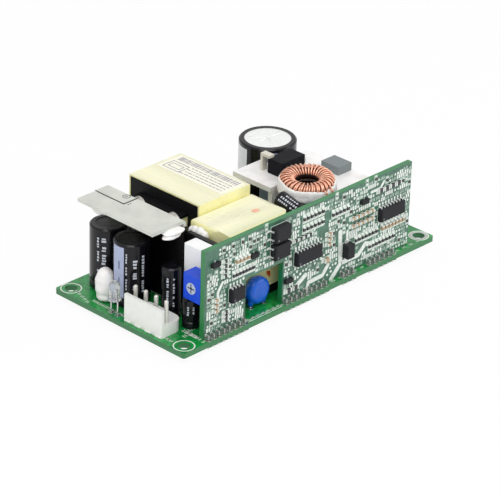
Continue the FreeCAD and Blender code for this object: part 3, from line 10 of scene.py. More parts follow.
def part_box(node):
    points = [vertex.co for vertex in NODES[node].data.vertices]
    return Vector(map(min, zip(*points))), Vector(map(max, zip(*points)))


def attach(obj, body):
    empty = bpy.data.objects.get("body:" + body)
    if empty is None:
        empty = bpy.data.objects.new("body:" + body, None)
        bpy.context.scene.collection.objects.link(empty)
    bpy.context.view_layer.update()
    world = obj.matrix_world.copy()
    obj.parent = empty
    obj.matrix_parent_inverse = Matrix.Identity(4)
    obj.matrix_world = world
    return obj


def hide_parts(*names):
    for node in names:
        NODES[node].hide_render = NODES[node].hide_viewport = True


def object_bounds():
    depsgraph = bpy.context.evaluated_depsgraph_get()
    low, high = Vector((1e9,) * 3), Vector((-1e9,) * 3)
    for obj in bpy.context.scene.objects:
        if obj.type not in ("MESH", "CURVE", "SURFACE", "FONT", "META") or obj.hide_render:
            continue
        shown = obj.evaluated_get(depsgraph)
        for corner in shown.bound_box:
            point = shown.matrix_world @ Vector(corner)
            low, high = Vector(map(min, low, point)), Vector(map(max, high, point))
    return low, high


bl_info = {
    "name": "Open frame power supply",
    "version": (1, 0, 0),
    "blender": (4, 5, 0),
    "location": "View3D > Sidebar > Supply",
    "description": "Dresses the packed frame of an open frame power supply",
    "category": "Object",
}

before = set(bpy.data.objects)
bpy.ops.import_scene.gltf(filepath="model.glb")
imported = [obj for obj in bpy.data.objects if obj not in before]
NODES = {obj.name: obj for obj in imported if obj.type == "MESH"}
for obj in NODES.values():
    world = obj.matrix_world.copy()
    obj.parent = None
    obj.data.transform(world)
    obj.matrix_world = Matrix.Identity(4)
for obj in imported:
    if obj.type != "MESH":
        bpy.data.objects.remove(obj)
CAD_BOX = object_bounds()
MM = 0.001
SUPPLY = "supply"
UP = Vector((0, 0, 1))

# Thickness of foil and of print, and the gap under print on a round sleeve, in millimetres
FOIL = 0.04
INK = 0.02
PRINT_GAP = 0.01

# Heights of what stands on the control board's front, and the width of its printed frames' lines
TRACK_HEIGHT = 0.14
PAD_HEIGHT = 0.06
SMALL_PART_HEIGHT = 0.3
DOT_HEIGHT = 0.015
FRAME_LINE = 0.17

# Places, nodes and angles in degrees that several pieces share; the ring's axis is in radians
MOUNT_INSET = 3.175
CHIP_PARTS = ("chip_resistors", "chip_capacitors")
LYING_TILT = 12.5
RING_TILT = 3.5
RING_AXIS = math.radians(-46.6)


# Colours

def ink(red, green, blue):
    """Colour seen on a screen as 0 to 255 values, turned into the linear one that the shaders take."""
    def channel(value):
        value /= 255
        return value / 12.92 if value <= 0.04045 else ((value + 0.055) / 1.055) ** 2.4
    return (channel(red), channel(green), channel(blue))


def shade(colour, factor):
    return tuple(min(1.0, channel * factor) for channel in colour)


# Sizes read from the frame, in millimetres

def corners(node):
    low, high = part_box(node)
    return low / MM, high / MM


def islands(*nodes):
    """Boxes of the nodes' separate solids, as (low, high) pairs, in a settled order within each node."""
    return [box for node in nodes for box in node_islands(NODES[node].data)]


def node_islands(mesh):
    parent = {}

    def root(key):
        while parent[key] != key:
            parent[key] = parent[parent[key]]
            key = parent[key]
        return key

    keys = [tuple(round(c / MM, 3) for c in v.co) for v in mesh.vertices]
    for key in keys:
        parent.setdefault(key, key)
    for face in mesh.polygons:
        first = root(keys[face.vertices[0]])
        for index in face.vertices[1:]:
            parent[root(keys[index])] = first
    groups = {}
    for key in parent:
        groups.setdefault(root(key), []).append(key)
    boxes = [tuple(Vector(end(p[i] for p in points) for i in range(3)) for end in (min, max))
             for points in groups.values()]
    return sorted(boxes, key=lambda pair: tuple(pair[0]))


def front_box(low, high, across, up):
    """Spans of a solid in X and in Z, grown by the given margins."""
    return (low.x - across, high.x + across), (low.z - up, high.z + up)


def spoke(angle):
    """Level unit vector at an angle from X."""
    return Vector((math.cos(angle), math.sin(angle), 0))


def circle(count):
    """Cosine and sine of even steps round a full turn."""
    return [(math.cos(math.tau * i / count), math.sin(math.tau * i / count)) for i in range(count)]


# Meshes

class Shape:
    """Gathers the faces of one piece, in millimetres."""

    def __init__(self):
        self.bm = bmesh.new()

    def box(self, low, high):
        for vert in bmesh.ops.create_cube(self.bm, size=1.0)["verts"]:
            vert.co = Vector(low[i] if vert.co[i] < 0 else high[i] for i in range(3))

    def skin(self, loops, closed=False):
        """Faces between loops of points, which meet again or are capped; a single point makes a tip."""
        width = max(len(loop) for loop in loops)
        rows = [[self.bm.verts.new(point) for point in loop] * (width // len(loop)) for loop in loops]
        for one, two in zip(rows, rows[1:] + rows[:1] if closed else rows[1:]):
            for k in range(width):
                m = (k + 1) % width
                self.bm.faces.new(tuple(dict.fromkeys((one[k], one[m], two[m], two[k]))))
        if not closed:
            for loop, row in ((loops[0], rows[0]), (loops[-1], rows[-1])):
                if len(loop) > 1:
                    self.bm.faces.new(row)

    def prism(self, outline, push):
        """Flat outline pushed along a vector, closed at both ends."""
        self.skin([outline, [Vector(point) + Vector(push) for point in outline]])

    def disc(self, centre, radius, axis, thickness, sides, inner=0.0):
        """Disc or ring whose face is square to the axis, growing along it by thickness."""
        axis = Vector(axis).normalized()
        side = axis.orthogonal().normalized()
        up = axis.cross(side)

        def loop(r, lift):
            return [Vector(centre) + axis * lift + (side * c + up * s) * r for c, s in circle(sides)]

        if inner:
            edges = ((inner, 0), (radius, 0), (radius, thickness), (inner, thickness))
            self.skin([loop(r, lift) for r, lift in edges], True)
        else:
            self.prism(loop(radius, 0), axis * thickness)

    def tube(self, path, radius, sides=8, closed=False):
        """Round wire along a path of points."""
        path = [Vector(p) for p in path]
        last = len(path) - 1
        rings = []
        side = None
        for i, point in enumerate(path):
            before = path[i - 1] if closed or i else point
            after = path[(i + 1) % len(path)] if closed or i < last else point
            along = (after - before).normalized()
            side = (along.orthogonal() if side is None else side - along * side.dot(along)).normalized()
            up = along.cross(side)
            rings.append([point + (side * c + up * s) * radius for c, s in circle(sides)])
        self.skin(rings, closed)

    def wrap(self, centre, radius, height, span, steps, turn=Matrix()):
        """Patch of print on an upright cylinder, between two heights and two angles in degrees."""
        columns = []
        for i in range(steps + 1):
            out = spoke(math.radians(span[0] + (span[1] - span[0]) * i / steps))
            column = []
            for r, z in ((radius, 0), (radius, 1), (radius + INK, 1), (radius + INK, 0)):
                column.append(turn @ (Vector((centre[0], centre[1], height[z])) + out * r))
            columns.append(column)
        self.skin(columns)

    def ball(self, centre, size):
        """Ellipsoid with the given half sizes."""
        rows = 10
        loops = [[(0, 0, 1)]]
        for k in range(1, rows):
            lift, girth = math.cos(math.pi * k / rows), math.sin(math.pi * k / rows)
            loops.append([(girth * c, girth * s, lift) for c, s in circle(2 * rows)])
        loops.append([(0, 0, -1)])
        self.skin([[[centre[j] + point[j] * size[j] for j in range(3)] for point in loop] for loop in loops])

    def make(self, name, material, slot, smooth=False, body=SUPPLY):
        """Turns the faces into a named object that rides on a body."""
        bmesh.ops.recalc_face_normals(self.bm, faces=self.bm.faces[:])
        bmesh.ops.scale(self.bm, vec=(MM, MM, MM), verts=self.bm.verts[:])
        mesh = bpy.data.meshes.new(name)
        self.bm.to_mesh(mesh)
        self.bm.free()
        mesh.materials.append(material)
        piece = bpy.data.objects.new(name, mesh)
        bpy.context.scene.collection.objects.link(piece)
        if smooth:
            mesh.shade_smooth()
        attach(piece, body)
        return piece


def bevelled(piece, width, segments=2):
    """Rounds a piece's sharp edges for good."""
    changer = piece.modifiers.new("edges", "BEVEL")
    changer.width = width * MM
    changer.segments = segments
    changer.limit_method = "ANGLE"
    apply_modifiers(piece)
    piece.data.shade_smooth()
    piece.data.set_sharp_from_angle(angle=math.radians(40))


def apply_modifiers(piece):
    bpy.context.view_layer.update()
    graph = bpy.context.evaluated_depsgraph_get()
    old = piece.data
    mesh = bpy.data.meshes.new_from_object(piece.evaluated_get(graph))
    piece.modifiers.clear()
    piece.data = mesh
    bpy.data.meshes.remove(old)


# Materials

def feed(tree, node, sockets):
    """Links each named socket to a node's output, or gives it a plain value."""
    for socket, value in sockets.items():
        if isinstance(value, bpy.types.NodeSocket):
            tree.links.new(value, node.inputs[socket])
        else:
            node.inputs[socket].default_value = value


def grown(tree, kind, sockets, **values):
    """New node with its values set and its sockets fed."""
    node = tree.nodes.new(kind)
    for key, value in values.items():
        setattr(node, key, value)
    feed(tree, node, sockets)
    return node


class Finish:
    """One material, whose colour, gloss and relief follow the object's own coordinates."""

    def __init__(self, name, roughness, metallic=0.0, **sockets):
        self.material = bpy.data.materials.new(name)
        self.material.use_nodes = True
        self.tree = self.material.node_tree
        self.set(Roughness=roughness, Metallic=metallic, **sockets)
        self.place = grown(self.tree, "ShaderNodeTexCoord", {}).outputs["Object"]

    def set(self, **sockets):
        """Feeds the Principled surface, whose socket names are written with underscores here."""
        named = {name.replace("_", " "): value for name, value in sockets.items()}
        feed(self.tree, self.tree.nodes["Principled BSDF"], named)

    def grain(self, size, detail=4.0, stretch=None):
        """Noise whose features are about size millimetres across."""
        place = self.place
        if stretch:
            mapping = grown(self.tree, "ShaderNodeMapping", {"Vector": place, "Scale": stretch})
            place = mapping.outputs["Vector"]
        sockets = {"Scale": 1 / (size * MM), "Vector": place, "Detail": detail}
        return grown(self.tree, "ShaderNodeTexNoise", sockets).outputs["Fac"]

    def seams(self, size):
        """Distance from the edges between cells about size millimetres across."""
        sockets = {"Scale": 1 / (size * MM), "Vector": self.place}
        cells = grown(self.tree, "ShaderNodeTexVoronoi", sockets, feature="DISTANCE_TO_EDGE")
        return cells.outputs["Distance"]

    def ramp(self, factor, *stops):
        """Colours at positions along a 0 to 1 factor."""
        node = grown(self.tree, "ShaderNodeValToRGB", {"Fac": factor})
        elements = node.color_ramp.elements
        while len(elements) < len(stops):
            elements.new(0.5)
        for element, (position, colour) in zip(elements, stops):
            element.position = position
            element.color = (*colour, 1.0)
        return node.outputs["Color"]

    def shades(self, factor, colour, *stops):
        """One colour, darkened or lightened by a factor at each position."""
        return self.ramp(factor, *((position, shade(colour, by)) for position, by in stops))

    def mix(self, factor, first, second):
        sockets = {"Factor": factor, "A": first, "B": second}
        return grown(self.tree, "ShaderNodeMix", sockets, data_type="RGBA").outputs["Result"]

    def colour(self, output):
        self.set(Base_Color=output)

    def gloss(self, factor, low, high):
        """Roughness that wanders between two values."""
        node = grown(self.tree, "ShaderNodeMapRange", {"Value": factor, "To Min": low, "To Max": high})
        self.set(Roughness=node.outputs["Result"])

    def relief(self, height, depth):
        """Bump of the given depth in millimetres."""
        sockets = {"Strength": 1.0, "Distance": depth * MM, "Height": height}
        node = grown(self.tree, "ShaderNodeBump", sockets)
        self.set(Normal=node.outputs["Normal"])

    def by_side(self, axis):
        """1 where the surface faces along the axis, either way, and 0 on its other sides."""
        normal = grown(self.tree, "ShaderNodeNewGeometry", {}).outputs["Normal"]
        along = grown(self.tree, "ShaderNodeSeparateXYZ", {"Vector": normal}).outputs[axis]
        size = grown(self.tree, "ShaderNodeMath", {0: along}, operation="ABSOLUTE").outputs["Value"]
        step = grown(self.tree, "ShaderNodeMath", {0: size, 1: 0.7}, operation="GREATER_THAN")
        return step.outputs["Value"]


def mottled(name, colour, size, spread, roughness, metallic=0.0, depth=0.0, **sockets):
    """Finish whose colour wanders a little about one shade."""
    finish = Finish(name, roughness, metallic, **sockets)
    grain = finish.grain(size)
    finish.colour(finish.shades(grain, colour, (0.3, 1 - spread), (0.7, 1 + spread)))
    finish.gloss(finish.grain(size * 2.5), max(0.03, roughness - 0.08), roughness + 0.08)
    if depth:
        finish.relief(grain, depth)
    return finish.material


def moulded(name, colour, roughness, depth, **sockets):
    return mottled(name, colour, 0.35, 0.08, roughness, depth=depth, **sockets)


def solder_mask(name, mask, lift, fibre, pitch, axis):
    """Lacquered board: paler runs of copper under the mask, and glass fibre on the cut edges."""
    finish = Finish(name, 0.32, Coat_Weight=0.25, Coat_Roughness=0.15)
    runs = finish.shades(finish.seams(pitch), mask, (0.05, lift), (0.09, 1))
    ground = finish.shades(finish.grain(6.0), mask, (0.42, 0.7), (0.6, 1.15))
    face = finish.mix(finish.grain(14.0), ground, runs)
    edge = finish.shades(finish.grain(0.5, stretch=(1, 1, 6)), fibre, (0.3, 0.8), (0.7, 1.2))
    finish.colour(finish.mix(finish.by_side(axis), edge, face))
    finish.relief(finish.grain(1.2), 0.03)
    return finish.material


def yellow_tape(name, top, side, lap, axis):
    """Polyester tape in overlapping layers, paler on its level top, where the light falls on it."""
    finish = Finish(name, 0.28, Coat_Weight=0.35, Coat_Roughness=0.12, Subsurface_Weight=0.15,
                    Subsurface_Radius=(0.9 * MM, 0.8 * MM, 0.4 * MM))
    stretch = [lap if letter == axis else 1.0 for letter in "XYZ"]
    broad = finish.grain(7.0, detail=2.0, stretch=stretch)
    tints = [finish.shades(broad, colour, (0.3, 0.88), (0.5, 1), (0.72, 1.08)) for colour in (side, top)]
    finish.colour(finish.mix(finish.by_side("Z"), *tints))
    finish.gloss(finish.grain(1.1, stretch=stretch), 0.18, 0.42)
    finish.relief(broad, 0.3)
    return finish.material


def shrunk_sleeve(name, colour):
    """Glossy heat-shrunk sleeve with faint upright streaks up to twice as light: painted sheen, which also
    gives a slight relief.
    """
    finish = Finish(name, 0.2, Specular_IOR_Level=0.28, Coat_Weight=0.12, Coat_Roughness=0.06)
    streaks = finish.grain(0.9, stretch=(1, 1, 0.08))
    finish.colour(finish.shades(streaks, colour, (0.3, 1), (0.75, 2.0)))
    finish.gloss(finish.grain(3.0), 0.12, 0.26)
    finish.relief(streaks, 0.02)
    return finish.material


def sheet_metal(name, colour, roughness, brushed, depth=0.012, metallic=0.25):
    """Rolled aluminium: fine lines one way, with cloudy handling marks over them."""
    finish = Finish(name, roughness, metallic)
    clouds = finish.grain(5.0, detail=6.0)
    finish.colour(finish.shades(clouds, colour, (0.25, 0.86), (0.55, 1), (0.8, 1.06)))
    finish.gloss(clouds, roughness - 0.08, roughness + 0.12)
    finish.relief(finish.grain(0.25, stretch=brushed), depth)
    return finish.material


def clear_lens(name, colour):
    finish = Finish(name, 0.06, Transmission_Weight=0.8, IOR=1.5)
    finish.colour(finish.shades(finish.grain(1.5), colour, (0.3, 0.95), (0.7, 1)))
    return finish.material


def silicone(name, colour):
    finish = Finish(name, 0.38, Subsurface_Weight=0.3, Subsurface_Radius=(1.2 * MM, 1.0 * MM, 0.9 * MM))
    broad = finish.grain(2.2)
    finish.colour(finish.shades(broad, colour, (0.3, 0.92), (0.65, 1)))
    finish.gloss(finish.grain(0.8), 0.28, 0.5)
    finish.relief(broad, 0.12)
    return finish.material


def enamelled_wire(name, colour):
    finish = Finish(name, 0.22, 0.65, Coat_Weight=0.5, Coat_Roughness=0.1)
    finish.colour(finish.shades(finish.grain(2.6), colour, (0.3, 0.72), (0.5, 1), (0.72, 1.2)))
    finish.gloss(finish.grain(0.6), 0.16, 0.34)
    return finish.material


# Settings that a user would change

def colour_setting(name, description, *values):
    return FloatVectorProperty(name=name, description=description, subtype="COLOR", default=ink(*values))


def angle_setting(name, description, degrees):
    return FloatProperty(name=name, description=description, subtype="ANGLE", default=math.radians(degrees))


class SupplyLook(bpy.types.PropertyGroup):
    mask: colour_setting("Main board", "Solder mask of the main board", 18, 132, 58)
    control_mask: colour_setting("Control board", "Solder mask of the control board", 58, 100, 80)
    # tape and tape_side are lit and shaded copies of one tape: painted light on the level top, painted shade
    # on the upright faces
    tape: colour_setting("Tape", "Tape round the transformer and the choke", 239, 237, 202)
    tape_side: colour_setting("Tape, sides", "The same tape on upright faces", 247, 242, 182)
    copper: colour_setting("Copper", "Enamelled wire of the toroid", 236, 174, 146)
    turns: IntProperty(
        name="Toroid turns", description="Turns of wire in each layer of the toroid",
        default=31, min=8, max=90)
    wire: FloatProperty(
        name="Toroid wire", description="Diameter of the toroid's wire", unit="LENGTH", default=0.56 * MM)


class StageLook(bpy.types.PropertyGroup):
    lamp_power: FloatProperty(
        name="Key lamp", description="Power of the key lamp", unit="POWER", default=2.2)
    fill_power: FloatProperty(
        name="Fill lamp", description="Power of the fill lamp", unit="POWER", default=1.6)
    surround: FloatProperty(
        name="Surround", description="Strength of the light from all round", default=0.74)
    azimuth: angle_setting("Camera azimuth", "Camera's direction round the supply", -46.626)
    elevation: angle_setting("Camera elevation", "Camera's height above the horizon", 27.258)
    roll: angle_setting("Camera roll", "Turn of the camera about its line of sight", 1.750)
    distance: FloatProperty(
        name="Camera distance", description="From the camera to its target", unit="LENGTH",
        default=742.756 * MM)


def dress(material, *names):
    """Gives CAD nodes a procedural material in place of their plain one."""
    for name in names:
        slots = NODES[name].data.materials
        slots.clear()
        slots.append(material)


# Printed marks

class Print:
    """Ink or foil laid on a flat face, drawn in the face's own two directions in millimetres."""

    def __init__(self, origin, across, up, out, thickness):
        self.shape = Shape()
        self.origin, self.across, self.up, self.out = Vector(origin), Vector(across), Vector(up), Vector(out)
        self.thickness = thickness

    def at(self, a, b):
        return self.origin + self.across * a + self.up * b

    def patch(self, *points):
        self.shape.prism([self.at(a, b) for a, b in points], self.out * self.thickness)

    def bar(self, a, b):
        """Rectangle from a[0] to a[1] across and b[0] to b[1] up."""
        self.patch((a[0], b[0]), (a[1], b[0]), (a[1], b[1]), (a[0], b[1]))

    def dot(self, a, b, radius, sides, inner=0.0):
        self.shape.disc(self.at(a, b), radius, self.out, self.thickness, sides, inner)

    def ribbon(self, points, width, joint_lift=0.005):
        """Track of even width along straight runs, with round corners and ends that lie a hair higher."""
        for (a, b), (c, d) in zip(points, points[1:]):
            along = Vector((c - a, d - b)).normalized() * (width / 2)
            x, y = -along.y, along.x
            self.patch((a + x, b + y), (a - x, b - y), (c - x, d - y), (c + x, d + y))
        for a, b in points:
            self.shape.disc(self.at(a, b) + self.out * joint_lift, width / 2, self.out, self.thickness, 14)

    def frame(self, a, b, width):
        self.bar(a, (b[0], b[0] + width))
        self.bar(a, (b[1] - width, b[1]))
        self.bar((a[0], a[0] + width), (b[0] + width, b[1] - width))
        self.bar((a[1] - width, a[1]), (b[0] + width, b[1] - width))


def level_print(z, thickness, out=1):
    """Print on a level face, across along X and up along Y."""
    return Print((0, 0, z), (1, 0, 0), (0, 1, 0), (0, 0, out), thickness)


def front_print(thickness):
    """Print on the front of the control board, across along X and up along Z."""
    return Print((0, corners("control_board")[0].y, 0), (1, 0, 0), (0, 0, 1), (0, -1, 0), thickness)


def reference_marks(sheet, a, b, rng, count, height, upright=True):
    """Short strokes in place of a printed part reference, a along their row and b across it."""
    step = 0.62 * height
    stroke = 0.22 * height

    def draw(along, rise):
        sheet.bar(*((along, rise) if upright else (rise, along)))

    for i in range(count):
        x = a + i * step
        form = rng.random()
        draw((x, x + stroke), (b, b + height))
        if form > 0.35:
            draw((x, x + step * 0.6), (b + height - stroke, b + height))
        if form > 0.6 and upright:
            draw((x, x + step * 0.6), (b + height * 0.42, b + height * 0.42 + stroke))


class DressOperator(bpy.types.Operator):
    bl_options = {"REGISTER", "UNDO"}

    def execute(self, context):
        self.dress(context.scene.supply_look)
        return {"FINISHED"}


# Main board

class SUPPLY_OT_main_board(DressOperator):
    """Solder mask, hole rings and reference marks of the main board"""
    bl_idname = "supply.main_board"
    bl_label = "Main board"

    def dress(self, settings):
        dress(solder_mask("main_board_mask", settings.mask, 1.9, ink(34, 112, 60), 2.6, "Z"), "main_board")
        self.legend()
        self.pads()

    def legend(self):
        """Rings round the holes, and rows of strokes where the board carries its part references."""
        low, high = corners("main_board")
        legend = level_print(high.z, INK)
        rng = random.Random(4)
        for x in (low.x + MOUNT_INSET, high.x - MOUNT_INSET):
            for y in (low.y + MOUNT_INSET, high.y - MOUNT_INSET):
                legend.dot(x, y, 3.05, 40, inner=2.7)
        for i in range(7):
            reference_marks(legend, low.y + 25.2 + i * 1.9, low.x + 2.3, rng, 3, 1.1, False)
        for i in range(5):
            reference_marks(legend, low.y + 38.4 + i * 1.6, low.x + 0.7 + 0.5 * i, rng, 2, 1.0, False)
        for i in range(4):
            reference_marks(legend, low.y + 7.0 + i * 1.3, low.x + 2.0 + 0.2 * i, rng, 3, 1.0, False)
            reference_marks(legend, low.y + 2.6 + i * 1.5, low.x + 8.2, rng, 3, 1.5, False)
        for i in range(30):
            reference_marks(legend, low.x + 8 + i * 3.0, low.y + 0.75, rng, 3, 0.8)
        for x, y in ((low.x + 6.6, low.y + 6.2), (low.x + 9.2, low.y + 7.6), (high.x - 8, high.y - 4),
                     (high.x - 9, low.y + 14), (high.x - 14, high.y - 3)):
            reference_marks(legend, x, y, rng, 4, 1.2)
        for y in (-24.95, -24.2):
            legend.bar((-26.0, -12.4), (y, y + 0.22))
        for i in range(7):
            reference_marks(legend, -25.4 + i * 2.0, -24.0, rng, 3, 0.6)
        white = mottled("legend_ink", ink(226, 232, 222), 0.5, 0.06, 0.55)
        legend.shape.make("board_legend", white, "label_white")

    def pads(self):
        """Tinned rings of the earthed holes and of every soldered lead, above and below the board."""
        low, high = corners("main_board")
        above, below = level_print(high.z, FOIL), level_print(low.z, FOIL, -1)
        for y in (low.y + MOUNT_INSET, high.y - MOUNT_INSET):
            above.dot(high.x - MOUNT_INSET, y, 2.6, 40, inner=1.8)
        for joint_low, joint_high in islands("solder_feet", "solder_points"):
            centre = (joint_low + joint_high) / 2
            radius = (joint_high.x - joint_low.x) / 2
            below.dot(centre.x, centre.y, radius + 0.3, 18)
            above.dot(centre.x, centre.y, radius + 0.12, 18, inner=radius * 0.62)
        tin = mottled("pad_tin", ink(205, 208, 205), 0.8, 0.12, 0.25, metallic=0.9, depth=0.04)
        above.shape.make("board_pads", tin, "solder")
        below.shape.make("board_pads_under", tin, "solder")


# Control board

class SUPPLY_OT_control_board(DressOperator):
    """Solder mask, tinned tracks, pads and marks of the control board"""
    bl_idname = "supply.control_board"
    bl_label = "Control board"

    def dress(self, settings):
        mask = solder_mask("control_board_mask", settings.control_mask, 1.7, ink(36, 122, 66), 1.7, "Y")
        dress(mask, "control_board")
        tin = mottled("track_tin", ink(222, 228, 222), 0.7, 0.16, 0.3, metallic=0.2, depth=0.08)
        white = mottled("control_ink", ink(206, 222, 210), 0.5, 0.05, 0.55)
        dark = mottled("small_part_glaze", ink(62, 58, 52), 1.7, 0.5, 0.35)
        self.foil, self.sheet = front_print(PAD_HEIGHT), front_print(INK)
        self.bodies = front_print(SMALL_PART_HEIGHT)
        self.taken = []
        self.parts()
        self.tracks().make("control_tracks", tin, "solder")
        self.chip_ends().make("chip_ends", tin, "solder")
        self.outlines()
        self.footprints()
        self.foil.shape.make("control_pads", tin, "solder")
        self.sheet.shape.make("control_legend", white, "label_white")
        self.bodies.shape.make("small_part_marks", dark, "chip_dark")

    def take(self, a, b, margin=0.0):
        """Marks a stretch of the board as used."""
        self.taken.append((a[0] - margin, a[1] + margin, b[0] - margin, b[1] + margin))

    def free(self, a, b):
        return not any(t[0] < a[1] and a[0] < t[1] and t[2] < b[1] and b[0] < t[3] for t in self.taken)

    def parts(self):
        """Room of the notch, the pins and all that is soldered to the board's front."""
        for low, high in islands(*CHIP_PARTS, "control_chips", "optocouplers", "small_transistors",
                                 "power_diode", "control_chip_leads", "control_board_pins"):
            self.take((low.x, high.x), (low.z, high.z), 0.3)
        for a, b in (((-26.2, -10.9), (0, 14.9)), ((-13.0, -9.6), (15.5, 20.0)), ((2.2, 6.6), (17.8, 24.2)),
                     ((-24.8, -22.6), (19.0, 22.4)), ((-41.6, -36.6), (24.8, 27.9))):
            self.take(a, b)

    def tracks(self):
        """Thick tinned tracks, which stand a little proud, and the pads of the board's pins."""
        foil = front_print(TRACK_HEIGHT)
        for points, width in (
                (((11.6, 15.7), (12.2, 5.6), (8.5, 1.9)), 1.5),
                (((14.6, 14.9), (14.9, 6.6)), 0.9),
                (((13.3, 5.7), (19.7, 5.7), (22.5, 8.3), (25.3, 7.2)), 1.4),
                (((-2.2, 7.1), (-5.7, 5.0)), 1.5),
                (((7.0, 7.0), (4.9, 4.5), (-0.8, 4.3), (-1.3, 2.3)), 1.3),
                (((-36.6, 9.0), (-36.6, 14.2), (-34.9, 16.6)), 0.9),
                (((24.0, 23.9), (27.8, 23.9), (29.2, 25.6)), 0.8)):
            foil.ribbon(points, width)
            for (a, b), (c, d) in zip(points, points[1:]):
                for i in range(9):
                    x, z = a + (c - a) * i / 8, b + (d - b) * i / 8
                    self.take((x, x), (z, z), width / 2 + 0.15)
        for low, high in islands("control_board_pins"):
            foil.dot((low.x + high.x) / 2, high.z - 0.25, 0.42, 18)
        return foil.shape

    def chip_ends(self):
        """Tinned ends of the chip parts, with the solder that climbs them, and the pads under every lead."""
        inner, outer, side = 0.55, 0.3, 0.1
        cap, coat, fillet = 0.32, 0.03, 0.42
        ends = Shape()
        face = corners("control_board")[0].y
        for low, high in islands(*CHIP_PARTS):
            along, aside = (0, 2) if high.x - low.x > high.z - low.z else (2, 0)
            for start, way in ((low[along], -1), (high[along], 1)):
                spans = {along: sorted((start - way * outer, start + way * inner)),
                         aside: (low[aside] - side, high[aside] + side)}
                self.foil.bar(spans[0], spans[2])
                cap_low, cap_high = Vector(low), Vector(high)
                cap_low[along], cap_high[along] = sorted((start + way * 0.02, start - way * cap))
                cap_low[aside] -= coat
                cap_high[aside] += coat
                cap_low.y, cap_high.y = low.y - coat, face
                ends.box(cap_low, cap_high)
                foot = []
                for reach, depth in ((0, low.y * 0.3 + face * 0.7), (way * fillet, face), (0, face)):
                    point = Vector(low)
                    point[along], point.y = start + reach, depth
                    foot.append(point)
                push = Vector()
                push[aside] = high[aside] - low[aside]
                ends.prism(foot, push)
        for low, high in islands("control_chip_leads"):
            grow = (0.1, 0.55) if high.z - low.z > high.x - low.x else (0.5, 0.12)
            self.foil.bar(*front_box(low, high, *grow))
        return ends

    def outlines(self):
        """Printed frames round the placed parts."""
        for node, margin in (("control_chips", 0.25), ("optocouplers", 0.2), ("power_diode", 0.3)):
            for low, high in islands(node):
                self.sheet.frame(*front_box(low, high, margin, margin), 0.2)
        for low, high in islands(*CHIP_PARTS):
            grow = (0.68, 0.26) if high.x - low.x > high.z - low.z else (0.26, 0.68)
            self.sheet.frame(*front_box(low, high, *grow), FRAME_LINE)

    def footprints(self):
        """Rows of small soldered footprints, blobs and part references wherever the board is free."""
        rng = random.Random(9)
        low, high = corners("control_board")
        forms = ((self.chip_footprint, 1.25, 2.3), (self.pad_pair, 1.5, 1.2), (self.reference, 1.9, 1.0),
                 (self.blob, 1.0, 1.0))
        row_step, gap, search = 0.62, 0.22, 0.35
        z = low.z + 0.5
        while z < high.z - 1.4:
            x = low.x + 0.9
            while x < high.x - 1.0:
                draw, width, height = forms[int(rng.random() * 3.999)]
                a, b = (x, x + width), (z, z + height)
                if self.free(a, b):
                    self.take(a, b)
                    draw(a, b, rng)
                    x += width + gap
                else:
                    x += search
            z += row_step

    def chip_footprint(self, a, b, rng):
        """Printed frame with two pads, mostly with a small part between them."""
        inset, reach = 0.27, 0.9
        self.sheet.frame(a, b, FRAME_LINE)
        for pad in ((b[0] + inset, b[0] + reach), (b[1] - reach, b[1] - inset)):
            self.foil.bar((a[0] + inset, a[1] - inset), pad)
        if rng.random() < 0.6:
            self.bodies.bar((a[0] + 0.32, a[1] - 0.32), (b[0] + 0.72, b[1] - 0.72))

    def pad_pair(self, a, b, rng):
        for pad in ((a[0], a[0] + 0.62), (a[1] - 0.62, a[1])):
            self.foil.bar(pad, b)

    def reference(self, a, b, rng):
        reference_marks(self.sheet, a[0] + 0.1, b[0], rng, 3, (b[1] - b[0]) * 0.95)

    def blob(self, a, b, rng):
        self.foil.dot((a[0] + a[1]) / 2, (b[0] + b[1]) / 2, 0.32 + 0.14 * rng.random(), 12)


# Chips on the control board

class SUPPLY_OT_chips(DressOperator):
    """Chips, optocouplers, small parts and their leads"""
    bl_idname = "supply.chips"
    bl_label = "Chips"

    def dress(self, settings):
        black = moulded("chip_moulding", ink(38, 38, 42), 0.5, 0.02, Specular_IOR_Level=0.15)
        dress(black, "control_chips", "optocouplers", "small_transistors", "power_diode")
        dress(mottled("resistor_glaze", ink(44, 46, 48), 0.5, 0.2, 0.3), "chip_resistors")
        dress(mottled("chip_ceramic", ink(176, 152, 122), 0.6, 0.1, 0.5), "chip_capacitors")
        tin = mottled("lead_tin", ink(232, 234, 232), 0.5, 0.1, 0.25, metallic=0.5)
        dress(tin, "control_chip_leads")
        dots = front_print(DOT_HEIGHT)
        for low, high in islands("control_chips", "optocouplers"):
            dots.origin.y = low.y
            dots.dot(low.x + 0.8, low.z + 0.85, 0.3, 16)
        grey = moulded("pin_one_recess", ink(92, 94, 98), 0.4, 0.01)
        dots.shape.make("pin_one_dots", grey, "package_black")
        self.leads().make("small_part_leads", tin, "tinned_metal")

    def leads(self):
        """Three leads for each small transistor and a tab at either end of the diode."""
        leads = Shape()
        face = corners("control_board")[0].y

        def lead(x, start, reach, half, height):
            low, high = sorted((start, start + reach))
            leads.box((x - half, face - height, low), (x + half, face, high))

        for low, high in islands("small_transistors"):
            middle = (low.x + high.x) / 2
            lead(middle - 0.95, low.z, -0.55, 0.2, 0.16)
            lead(middle + 0.95, low.z, -0.55, 0.2, 0.16)
            lead(middle, high.z, 0.55, 0.2, 0.16)
        for low, high in islands("power_diode"):
            for start, reach in ((low.z, -0.9), (high.z, 0.9)):
                lead((low.x + high.x) / 2, start, reach, 0.75, 0.35)
        return leads


# Headers and leads

